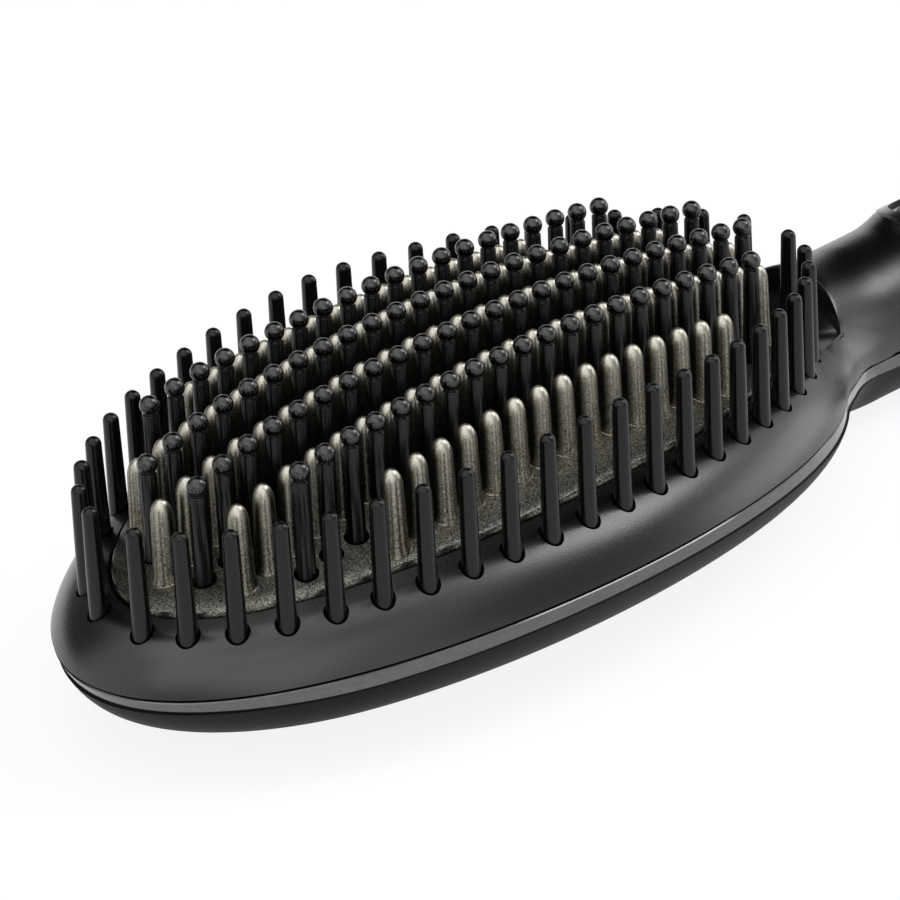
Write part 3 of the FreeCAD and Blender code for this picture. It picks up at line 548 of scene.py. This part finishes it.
def shellColumns(side, level, shell):
    # columns of points from the inner edge over the shoulder to the parting line, one row for each ray
    angles, count = rayAngles(level)
    dx, dy = np.cos(angles), np.sin(angles)
    outline = outlineReach(angles, count, level, side)
    dishRadius = 1 / np.hypot(dx / shell["dishLength"], dy / shell["dishWidth"])
    split = np.minimum(dishRadius, outline - shell["shoulderRun"])
    start = 1 / np.hypot(dx / shell["openLength"], dy / shell["openWidth"]) if side > 0 else 0 * dx
    far = np.full(angles.shape, rays["farUp"])

    def skinOver(r):
        x, y = r * dx, r * dy
        base = seamHeight(x) + level
        return base + side * reachOut(lambda h: skinField(x, y, base + side * h, side), far)

    # the lip at the neck dies out to both sides, and the saddle's floor runs from the deck to its foot
    top = skinOver(split)
    base = top.copy()
    if side > 0:
        rise = shell["lipHeight"] * np.maximum(1 - (split * dy / shell["lipHalfWidth"]) ** 2, 0)
        base = top - np.where(dx > 0, rise, 0)
        lift = base - deckHeight(split * dx, split * dy)
        saddle = ease((split * dx - shell["saddleStart"]) / shell["saddleRun"])

    def floorOver(r):
        skin = skinOver(r)
        if side < 0:
            return np.maximum(skin, 0.0)
        share = np.clip((r - start) / (split - start), 0, 1) ** shell["floorPower"]
        return skin * (1 - saddle) + (deckHeight(r * dx, r * dy) + lift * share) * saddle

    columns = []
    if side > 0:
        rim = floorOver(start + shell["rimRun"])
        columns += [(start + out, rim - drop) for out, drop in shell["rimEdge"]]
        start = start + shell["rimRun"]
    for share in np.linspace(0, 1, shell["deckSteps"] + 1):
        r = start + (split - start) * share
        columns.append((r, floorOver(r)))
    if side > 0:
        wall = np.clip((top - base) / shell["lipRound"], 0, 1)
        for out, drop in shell["lipEdge"]:
            columns.append((split + out * wall, base + np.maximum(top - base - drop * wall, 0)))
    pivot = seamHeight(split * dx) + level
    arc = np.sqrt(np.maximum(form["neckRadius"] ** 2 - (outline * dy) ** 2, 0))
    endHeight = np.where(acrossNeck(angles, count), form["neckRadius"] + side * arc,
                         seamHeight(outline * dx) + level)
    last = np.arctan2(side * (endHeight - pivot), outline - split)
    for share in np.linspace(0, 1, shell["shoulderSteps"] + 1)[1:-1]:
        tilt = math.pi / 2 + (last - math.pi / 2) * share
        run, rise = np.cos(tilt), side * np.sin(tilt)
        length = reachOut(lambda t: skinField((split + t * run) * dx, (split + t * run) * dy,
                                              pivot + t * rise, side), far)
        height = pivot + length * rise
        if side < 0:
            height = np.maximum(height, 0.0)
        columns.append((split + length * run, height))
    columns.append((outline, endHeight))
    rows = np.array([[r * dx, r * dy, z] for r, z in columns])
    return rows.transpose(2, 0, 1)


def gridFrom(points):
    # a grid whose vertices are set to rows of points
    across, along = points.shape[1], points.shape[0]
    bm = bmesh.new()
    bmesh.ops.create_grid(bm, x_segments=along - 1, y_segments=across - 1, size=1)
    for vert in bm.verts:
        row = round((vert.co.x + 1) / 2 * (along - 1))
        column = round((vert.co.y + 1) / 2 * (across - 1))
        vert.co = Vector(points[row, column]) * mm
    weld(bm)
    return bm


def drawOutHandle(bm, stations):
    # draws the cut across the neck out along the handle, following its swell
    cut, slack = form["neckCut"] * mm, form["cutSlack"] * mm
    ring = [e for e in bm.edges if e.is_boundary and all(abs(v.co.x - cut) < slack for v in e.verts)]
    before = form["neckCut"]
    for x in stations:
        verts, ring = growRing(bm, ring)
        swell = float(gripHeight(np.array(x)) / gripHeight(np.array(before)))
        for vert in verts:
            vert.co = (x * mm, vert.co.y * swell, vert.co.z * swell)
        before = x


def stationsBetween(low, high, steps):
    return np.linspace(low, high, steps + 1)[1:]


# edges are (outward, downward) steps
frontShell = {"openLength": 53.2, "openWidth": 24.3, "dishLength": 61.4, "dishWidth": 33.2,
              "shoulderRun": 6.5, "rimRun": 0.3, "rimEdge": ((0.0, 0.5), (0.03, 0.2), (0.12, 0.05)),
              "lipHeight": 4.0, "lipHalfWidth": 10.3, "lipRound": 0.8,
              "lipEdge": ((0.0, 0.6), (0.06, 0.3), (0.2, 0.1)),
              "saddleStart": 30.0, "saddleRun": 8.0, "floorPower": 1.2,
              "deckSteps": 18, "shoulderSteps": 20, "wall": 0.5,
              "flareRise": 0.8, "flareRun": 3.6, "flareClear": 1, "flareFrom": 76, "flareTo": 100,
              "handleSteps": (3, 48, 25), "pinHole": 1.5, "pinHoleLow": 6, "pinHoleSegments": 28,
              "buttonHole": 7.2, "buttonPlace": 88.0, "buttonHoleLow": 14, "buttonHoleSegments": 64,
              "holeTop": 40}
ringPins = {"halfLength": 55.85, "halfWidth": 27.3, "ovalSteps": 4001, "step": 5.755, "count": 11,
            "tipRise": 7.7, "tipFall": 0.0672, "tipRound": 4.0, "tipRadius": 0.98,
            "domeRise": 0.92, "domeSteps": 8, "baseRadius": 1.28, "foot": 14.0, "segments": 20,
            "frameLow": 12.19, "frameHigh": 14.38, "frameOut": 1.55, "frameIn": 3.85, "frameSlim": 0.35,
            "frameTurns": 120}


def ringPlaces():
    # even steps along the oval from both long sides
    t = np.linspace(math.pi / 2, 0, ringPins["ovalSteps"])
    x, y = ringPins["halfLength"] * np.cos(t), ringPins["halfWidth"] * np.sin(t)
    run = np.concatenate([[0], np.cumsum(np.hypot(np.diff(x), np.diff(y)))])
    places = []
    for k in range(ringPins["count"] + 1):
        px = float(np.interp(k * ringPins["step"], run, x))
        py = float(np.interp(k * ringPins["step"], run, y))
        for sx in ((1,) if k == 0 else (1, -1)):
            places += [(sx * px, py), (sx * px, -py)]
    return places


def flareRoundButton(bm):
    # the neck rises round the button
    hole, run = frontShell["buttonHole"], frontShell["flareRun"]
    for vert in bm.verts:
        x, y = vert.co.x / mm, vert.co.y / mm
        away = math.hypot(x - frontShell["buttonPlace"], y) - hole
        if x > form["neckCut"] + frontShell["flareClear"] and away < run:
            rise = frontShell["flareRise"] * (1 - max(0.0, away) / run) ** 2
            middle = Vector((vert.co.x, 0, float(gripHeight(np.array(x))) * mm))
            vert.co += (vert.co - middle).normalized() * rise * mm


def makeFrontShell():
    bm = gridFrom(shellColumns(1, 0.0, frontShell))
    ends = (form["neckCut"], frontShell["flareFrom"], frontShell["flareTo"], form["handleEnd"])
    stations = [stationsBetween(*span) for span in zip(ends[:-1], ends[1:], frontShell["handleSteps"])]
    drawOutHandle(bm, np.concatenate(stations))
    flareRoundButton(bm)
    weld(bm)
    turnOutward(bm, lambda middle: Vector((0, 0, 1)))
    piece = addPiece("frontShell", bm, "frontPlastic")
    thicken(piece, frontShell["wall"])
    holes = bmesh.new()
    top = frontShell["holeTop"]
    for x, y in ringPlaces():
        addPost(holes, x, y, frontShell["pinHoleLow"], top, frontShell["pinHole"],
                frontShell["pinHoleSegments"])
    addPost(holes, frontShell["buttonPlace"], 0, frontShell["buttonHoleLow"], top, frontShell["buttonHole"],
            frontShell["buttonHoleSegments"])
    cutWith(piece, holes)
    standFor(piece, "brush", "front_shell")


makeFrontShell()
print("front shell done")

backShell = {"dishLength": 100.0, "dishWidth": 100.0, "shoulderRun": 9.0, "deckSteps": 22,
             "shoulderSteps": 22, "level": -2.3, "wall": 1.9, "handleSteps": 34, "screwPlaces": (66.0, 178.0),
             "screwRecess": 2.9, "recessLow": -3, "recessTop": 4.0, "recessSegments": 40}


def makeBackShell():
    bm = gridFrom(shellColumns(-1, backShell["level"], backShell))
    drawOutHandle(bm, stationsBetween(form["neckCut"], form["handleEnd"], backShell["handleSteps"]))
    weld(bm)
    turnOutward(bm, lambda middle: Vector((0, 0, -1)))
    piece = addPiece("backShell", bm, "backPlastic")
    thicken(piece, backShell["wall"])
    holes = bmesh.new()
    for x in backShell["screwPlaces"]:
        addPost(holes, x, 0, backShell["recessLow"], backShell["recessTop"], backShell["screwRecess"],
                backShell["recessSegments"])
    cutWith(piece, holes)
    standFor(piece, "brush", "back_shell")


makeBackShell()
print("back shell done")

trimBand = {"inset": 0.28, "topGap": 0.45, "bottomGap": 0.06, "height": 2.3, "wall": 1.4, "edge": 0.12,
            "ledge": 1.2, "handleSteps": 34}


def makeTrimBand():
    angles, count = rayAngles(0.0)
    keep = np.concatenate([np.arange(len(angles) - count, len(angles)), np.arange(1, count)])
    angles = angles[keep]
    dx, dy = np.cos(angles), np.sin(angles)
    far = np.full(angles.shape, rays["farOut"])
    top, edge = trimBand["topGap"], trimBand["edge"]
    drops = [(top, trimBand["ledge"]), (top, edge), (top + edge, 0.0),
             (trimBand["height"] - trimBand["bottomGap"], 0.0)]
    columns = []
    for drop, inset in drops:
        side = 1 if drop < trimBand["height"] / 2 else -1
        reach = reachOut(lambda r: skinField(r * dx, r * dy, seamHeight(r * dx) - drop, side), far)
        halfNeck = np.sqrt(form["neckRadius"] ** 2 - drop ** 2)
        reach[0] = reach[-1] = math.hypot(form["neckCut"], halfNeck)
        reach = reach - trimBand["inset"] - inset
        columns.append(np.array([reach * dx, reach * dy, seamHeight(reach * dx) - drop]))
    points = np.array(columns).transpose(2, 0, 1)
    points[0, :, 0] = points[-1, :, 0] = form["neckCut"]
    bm = gridFrom(points)
    drawOutHandle(bm, stationsBetween(form["neckCut"], form["handleEnd"], trimBand["handleSteps"]))
    turnOutward(bm, lambda middle: Vector((0, middle.y, 0)))
    piece = addPiece("trimBand", bm, "trimGloss")
    thicken(piece, trimBand["wall"])
    standFor(piece, "brush", "trim_band")


makeTrimBand()
print("trim band done")

# crowned plate with its five rows of fingers, and the four strips between them
# edges are (outward, downward) steps, flares (outward, upward), the groove (radius, downward)
plate = {"halfLength": 52.9, "halfWidth": 24.0, "proud": 0.4, "underside": 14.386, "railTop": 16.386,
         "flangeTop": 15.986, "flange": 1.3, "steps": 26, "turns": 144, "rimInset": 0.3,
         "rimEdge": ((0.2, 0.07), (0.3, 0.25)), "railHalfWidth": 1.7, "railGap": 0.1, "railUnder": 1,
         "shaftHole": 1.5, "shaftUnder": 0.5, "shaftTop": 34, "shaftSegments": 28}
lattice = {"pitch": 4.0, "rowPitch": 8.85, "edgeMargin": 4.2,
           "fingerRows": (-2, -1, 0, 1, 2), "fingerShift": 0.0,
           "stripRows": (-1.5, -0.5, 0.5, 1.5), "stripShift": 0.5}
# the finger's last two entries set how strong the painted highlight on the tips is and how fast it grows toward
# the top
finger = {"top": 37.1, "fallAlong": 0.00245, "fallAcross": 0.0078, "endStart": 36.0, "endFall": 0.006,
          "tipRadius": 1.34, "tipRise": 2.3, "domeSteps": 8, "waistRadius": 1.6, "footRadius": 1.95,
          "waistFlare": ((0.0, 0.95), (0.06, 0.55), (0.2, 0.27)),
          "footFlare": ((-0.12, 0.12), (0.0, 0.05), (0.02, -0.25)),
          "segments": 20, "paintedHighlightShare": 0.56, "paintedHighlightPower": 3}
ball = {"top": 38.44, "fallAlong": 0.001785, "fallAcross": 0.00365, "endStart": 28.0, "endFall": 0.0052,
        "radius": 1.24, "lastTurn": 140, "steps": 9, "groove": ((0.70, 1.0), (0.74, 1.08)), "glossDrop": 1.0,
        "collarDrop": 1.14, "collarIn": 0.12, "collarRise": 0.16, "shaftTop": 1.02, "shaftBase": 1.3,
        "shaftSink": 0.2, "flute": 0.08, "fluteDrop": 0.1, "segments": 24, "railHalfWidth": 1.6,
        "railEnd": 0.8, "railBevel": 0.15, "keelLow": 11.386, "keelShort": 1.3, "innerRows": 9, "sharpAngle": 40}

stripRows = [share * lattice["rowPitch"] for share in lattice["stripRows"]]


def rowPlaces(y, shift):
    room = plate["halfLength"] * math.sqrt(1 - (y / plate["halfWidth"]) ** 2) - lattice["edgeMargin"]
    last = math.floor(room / lattice["pitch"] - shift) + shift
    return [(k - last) * lattice["pitch"] for k in range(int(round(2 * last)) + 1)]


def plateHeight(x, y):
    return float(deckHeight(np.array(x), np.array(y))) + plate["proud"]


def tipHeight(tips, x, y, end):
    # tips follow the crown and fall more past endStart
    past = max(0.0, end - tips["endStart"])
    crown = tips["top"] - tips["fallAlong"] * x ** 2 - tips["fallAcross"] * y ** 2
    return crown - tips["endFall"] * past ** 2


def ballCentre(x, y):
    return tipHeight(ball, x, y, -x)


def stripHalf(places):
    return places[-1] + ball["shaftBase"] + ball["railEnd"]


def addFinger(bm, x, y):
    top = tipHeight(finger, x, y, abs(x))
    foot = plateHeight(x, y)
    shoulder = top - finger["tipRise"]
    dome = domeProfile(top, finger["tipRadius"], finger["tipRise"], finger["domeSteps"])
    middle = ((finger["tipRadius"] + finger["waistRadius"]) / 2, (shoulder + foot) / 2)
    flare = [(finger["waistRadius"] + out, foot + up) for out, up in finger["waistFlare"]]
    flare += [(finger["footRadius"] + out, foot + up) for out, up in finger["footFlare"]]
    flareRise = finger["waistFlare"][0][1]
    paintedHighlight = bm.verts.layers.float.get("paintedHighlight")
    for vert in addTurned(bm, x, y, dome + [middle] + flare, finger["segments"]):
        # painted highlight: each vertex gets a share that grows toward the finger's top
        rise = max(0.0, (vert.co.z / mm - middle[1]) / (top - middle[1]))
        vert[paintedHighlight] = finger["paintedHighlightShare"] * rise ** finger["paintedHighlightPower"]
        # the foot follows the crown of the plate
        low = 1 - min(1.0, max(0.0, (vert.co.z / mm - foot) / flareRise))
        vert.co.z += low * (plateHeight(vert.co.x / mm, vert.co.y / mm) - foot) * mm


def addPlateBody(bm):
    # a disc drawn out to the crowned oval, then its rim and flat underside
    long, wide = plate["halfLength"] - plate["rimInset"], plate["halfWidth"] - plate["rimInset"]
    addTurned(bm, 0, 0, [(r / mm, 0.0) for r in np.linspace(0, 1, plate["steps"] + 1)], plate["turns"])
    for vert in bm.verts:
        x, y = vert.co.x * long, vert.co.y * wide
        vert.co = Vector((x, y, plateHeight(x, y))) * mm
    side, flange = plate["rimInset"], plate["rimInset"] + plate["flange"]
    rim = [(out, drop, None) for out, drop in plate["rimEdge"]]
    rim += [(side, 0.0, plate["flangeTop"]), (flange, 0.0, plate["flangeTop"]),
            (flange, 0.0, plate["underside"])]
    ring = [e for e in bm.edges if e.is_boundary]
    for out, drop, level in rim:
        verts, ring = growRing(bm, ring)
        for vert in verts:
            turn = math.atan2(vert.co.y / plate["halfWidth"], vert.co.x / plate["halfLength"])
            x, y = (long + out) * math.cos(turn), (wide + out) * math.sin(turn)
            z = plateHeight(x, y) - drop if level is None else level
            vert.co = Vector((x, y, z)) * mm
    bmesh.ops.holes_fill(bm, edges=ring)
    evenNormals(bm)


def cutStripRoom(piece):
    # slots for the rails underneath, and a hole for each shaft
    rails = bmesh.new()
    shafts = bmesh.new()
    side = plate["railHalfWidth"]
    for y in stripRows:
        places = rowPlaces(y, lattice["stripShift"])
        half = stripHalf(places) + plate["railGap"]
        addBlock(rails, (-half, y - side, plate["underside"] - plate["railUnder"]),
                 (half, y + side, plate["railTop"]))
        for x in places:
            addPost(shafts, x, y, plate["railTop"] - plate["shaftUnder"], plate["shaftTop"],
                    plate["shaftHole"], plate["shaftSegments"])
    cutWith(piece, rails)
    cutWith(piece, shafts)


def makeHeaterPlate():
    bm = bmesh.new()
    addPlateBody(bm)
    piece = addPiece("heaterPlate", bm, "plateCoating")
    cutStripRoom(piece)
    bm = bmesh.new()
    bm.from_mesh(piece.data)
    bm.verts.layers.float.new("paintedHighlight")
    bodyFaces = len(bm.faces)
    for row in lattice["fingerRows"]:
        y = row * lattice["rowPitch"]
        for x in rowPlaces(y, lattice["fingerShift"]):
            addFinger(bm, x, y)
    for face in list(bm.faces)[bodyFaces:]:
        face.material_index = 1
    piece.data.materials.append(finishes["fingerCoating"])
    evenNormals(bm)
    bm.to_mesh(piece.data)
    bm.free()
    softenEdges(piece.data)
    standFor(piece, "brush", "heater_plate")


makeHeaterPlate()
print("heater plate done")


def addBallBristle(bm, x, y):
    centre = ballCentre(x, y)
    r = ball["radius"]
    turns = np.linspace(0, math.radians(ball["lastTurn"]), ball["steps"])
    profile = [(r * math.sin(t), centre + r * math.cos(t)) for t in turns]
    profile += [(radius, centre - drop) for radius, drop in ball["groove"]]
    collar = centre - ball["collarDrop"]
    shaft = collar - ball["collarRise"]
    profile += [(ball["shaftTop"] - ball["collarIn"], collar), (ball["shaftTop"], shaft)]
    low = plate["railTop"] - ball["shaftSink"]
    for share in (0.5, 1.0):
        profile.append((ball["shaftTop"] + (ball["shaftBase"] - ball["shaftTop"]) * share,
                        shaft + (low - shaft) * share))
    # every other line of the shaft is drawn in for the flutes
    for vert in addTurned(bm, x, y, profile, ball["segments"]):
        if vert.co.z / mm > collar - ball["fluteDrop"]:
            continue
        across = Vector((vert.co.x / mm - x, vert.co.y / mm - y))
        step = round(math.atan2(across.y, across.x) / math.tau * ball["segments"])
        if step % 2:
            across *= 1 - ball["flute"] / across.length
            vert.co.x, vert.co.y = (x + across.x) * mm, (y + across.y) * mm


def makeBristleStrip(name, node, y):
    bm = bmesh.new()
    places = rowPlaces(y, lattice["stripShift"])
    half = stripHalf(places)
    side = ball["railHalfWidth"]
    addBlock(bm, (-half, y - side, plate["underside"]), (half, y + side, plate["railTop"]))
    keel = half - (ball["keelShort"] if abs(y) > ball["innerRows"] else 0.0)
    addBlock(bm, (-keel, y - side, ball["keelLow"]), (keel, y + side, plate["underside"]))
    bmesh.ops.bevel(bm, geom=bm.edges[:], offset=ball["railBevel"] * mm, affect="EDGES", segments=2,
                    profile=0.5, material=-1)
    for x in places:
        addBallBristle(bm, x, y)
    # balls are glossier than the rail and shafts
    for face in bm.faces:
        middle = face.calc_center_median() / mm
        x = min(places, key=lambda place: abs(place - middle.x))
        face.material_index = 0 if middle.z > ballCentre(x, y) - ball["glossDrop"] else 1
    evenNormals(bm)
    piece = addPiece(name, bm, "ballNylon", ball["sharpAngle"])
    piece.data.materials.append(finishes["pinNylon"])
    standFor(piece, "brush", node)


strips = {"stripRightOuter": "bristle_strip_right_outer", "stripRightInner": "bristle_strip_right_inner",
          "stripLeftInner": "bristle_strip_left_inner", "stripLeftOuter": "bristle_strip_left_outer"}
for (name, node), y in zip(strips.items(), stripRows):
    makeBristleStrip(name, node, y)
print("ball bristles done")


def addRingFrame(bm):
    # a square section spun round near radius 1, then set to the inner and outer oval
    outer = (ringPins["halfLength"] + ringPins["frameOut"], ringPins["halfWidth"] + ringPins["frameOut"])
    inner = (ringPins["halfLength"] - ringPins["frameIn"],
             ringPins["halfWidth"] - ringPins["frameIn"] - ringPins["frameSlim"])
    low, high, apart = ringPins["frameLow"], ringPins["frameHigh"], 0.1
    corners = [(1.0, low), (1.0 + apart, low), (1.0 + apart, high), (1.0, high)]
    verts = [bm.verts.new((r, 0, z * mm)) for r, z in corners]
    edges = [bm.edges.new((verts[k], verts[(k + 1) % 4])) for k in range(4)]
    spinRound(bm, verts, edges, 0, 0, ringPins["frameTurns"])
    for vert in bm.verts:
        turn = math.atan2(vert.co.y, vert.co.x)
        oval = outer if math.hypot(vert.co.x, vert.co.y) > 1.0 + apart / 2 else inner
        vert.co.x, vert.co.y = oval[0] * math.cos(turn) * mm, oval[1] * math.sin(turn) * mm


def makeOuterBristles():
    bm = bmesh.new()
    addRingFrame(bm)
    r, base, foot = ringPins["tipRadius"], ringPins["baseRadius"], ringPins["foot"]
    for x, y in ringPlaces():
        top = form["deckCrest"] + ringPins["tipRise"]
        top -= ringPins["tipFall"] * (math.hypot(x, ringPins["tipRound"]) - ringPins["tipRound"])
        profile = domeProfile(top, r, ringPins["domeRise"], ringPins["domeSteps"])
        profile += [((r + base) / 2, (top + foot) / 2), (base, foot)]
        addTurned(bm, x, y, profile, ringPins["segments"])
    evenNormals(bm)
    piece = addPiece("outerBristles", bm, "pinNylon")
    standFor(piece, "brush", "bristle_frame")


makeOuterBristles()
print("outer bristles done")

# floor, backdrop and lamps, in metres, the paper's clouding in millimetres
studio = {"floorSize": 8.0, "floorGrey": 0.24, "floorMottle": 0.01, "floorRough": 0.9, "floorSpecular": 0.1,
          "paperCloud": 400.0, "paperGlow": 0.87, "fill": 0.22, "tent": 1.0, "lampAim": (0.0, 0.0, 0.02),
          "flags": [{"toward": (0.54, 0.46, 0.70), "tone": 0.01, "edge": 0.80, "core": 0.90},
                    {"toward": (0.464, -0.803, 0.375), "tone": 0.40, "edge": 0.88, "core": 0.97},
                    {"toward": (-0.915, -0.387, 0.12), "tone": 0.35, "edge": 0.88, "core": 0.975},
                    {"toward": (-0.13, 0.93, 0.33), "tone": 0.15, "edge": 0.82, "core": 0.95},
                    {"toward": (-0.272, -0.324, 0.906), "tone": 0.50, "edge": 0.90, "core": 0.98}]}
lamps = {"key": {"place": (0.56, -0.34, 0.72), "size": (0.40, 0.40), "watts": 2.1},
         "overhead": {"place": (-0.16, -0.04, 0.82), "size": (0.80, 0.80), "watts": 1.5},
         "front": {"place": (-0.84, -0.59, 0.72), "size": (1.50, 1.10), "watts": 3.4},
         "side": {"place": (0.80, -0.28, 0.14), "size": (0.60, 0.30), "watts": 0.65}}


def seenRays(tree):
    # 1 for rays that the eye, mirrors and glass see
    path = tree.nodes.new("ShaderNodeLightPath")
    total = path.outputs["Is Camera Ray"]
    for ray in ("Is Glossy Ray", "Is Transmission Ray"):
        total = addMath(tree, "MAXIMUM", total, path.outputs[ray])
    return total


def makeFloor():
    bm = bmesh.new()
    bmesh.ops.create_grid(bm, x_segments=1, y_segments=1, size=studio["floorSize"] / 2)
    mesh = meshFrom("floor", bm)
    floor = bpy.data.objects.new("floor", mesh)
    scene.collection.objects.link(floor)
    material, tree, shader, coords = startMaterial("palePaper")
    grey = studio["floorGrey"]
    slow = addNoise(tree, coords, studio["paperCloud"], texture["grainDetail"])
    tones = addTones(tree, slow, (grey - studio["floorMottle"],) * 3, (grey,) * 3)
    tree.links.new(tones, shader.inputs["Base Color"])
    shader.inputs["Roughness"].default_value = studio["floorRough"]
    shader.inputs["Specular IOR Level"].default_value = studio["floorSpecular"]
    white = tree.nodes.new("ShaderNodeEmission")
    feed(tree, white.inputs["Strength"], addMath(tree, "MULTIPLY", seenRays(tree), studio["paperGlow"]))
    both = tree.nodes.new("ShaderNodeAddShader")
    tree.links.new(shader.outputs["BSDF"], both.inputs[0])
    tree.links.new(white.outputs["Emission"], both.inputs[1])
    tree.links.new(both.outputs["Shader"], tree.nodes["Material Output"].inputs["Surface"])
    mesh.materials.append(material)


def makeWorld():
    # a white tent with dark flags, which the shells mirror; the eye sees white all over
    world = bpy.data.worlds.new("studio")
    scene.world = world
    world.use_nodes = True
    tree = world.node_tree
    light = tree.nodes["Background"]
    coords = tree.nodes.new("ShaderNodeTexCoord")
    tent = studio["tent"]
    for flag in studio["flags"]:
        near = tree.nodes.new("ShaderNodeVectorMath")
        near.operation = "DOT_PRODUCT"
        tree.links.new(coords.outputs["Generated"], near.inputs[0])
        near.inputs[1].default_value = Vector(flag["toward"]).normalized()
        shade = addRange(tree, near.outputs["Value"], 1.0, flag["tone"], flag["edge"], flag["core"])
        tent = addMath(tree, "MULTIPLY", shade, tent)
    path = tree.nodes.new("ShaderNodeLightPath")
    strength = addMix(tree, path.outputs["Is Glossy Ray"], studio["fill"], tent)
    for ray in ("Is Transmission Ray", "Is Camera Ray"):
        strength = addMix(tree, path.outputs[ray], strength, 1.0)
    tree.links.new(strength, light.inputs["Strength"])
    light.inputs["Color"].default_value = (1, 1, 1, 1)


def makeLamps():
    for name, lamp in lamps.items():
        data = bpy.data.lights.new(name, "AREA")
        data.shape = "RECTANGLE"
        data.size, data.size_y = lamp["size"]
        data.energy = lamp["watts"]
        holder = bpy.data.objects.new(name, data)
        holder.location = lamp["place"]
        aim = Vector(studio["lampAim"]) - holder.location
        holder.rotation_mode = "QUATERNION"
        holder.rotation_quaternion = aim.to_track_quat("-Z", "Y")
        scene.collection.objects.link(holder)


makeFloor()
makeWorld()
makeLamps()
scene.view_settings.view_transform = "Standard"
print("studio set")
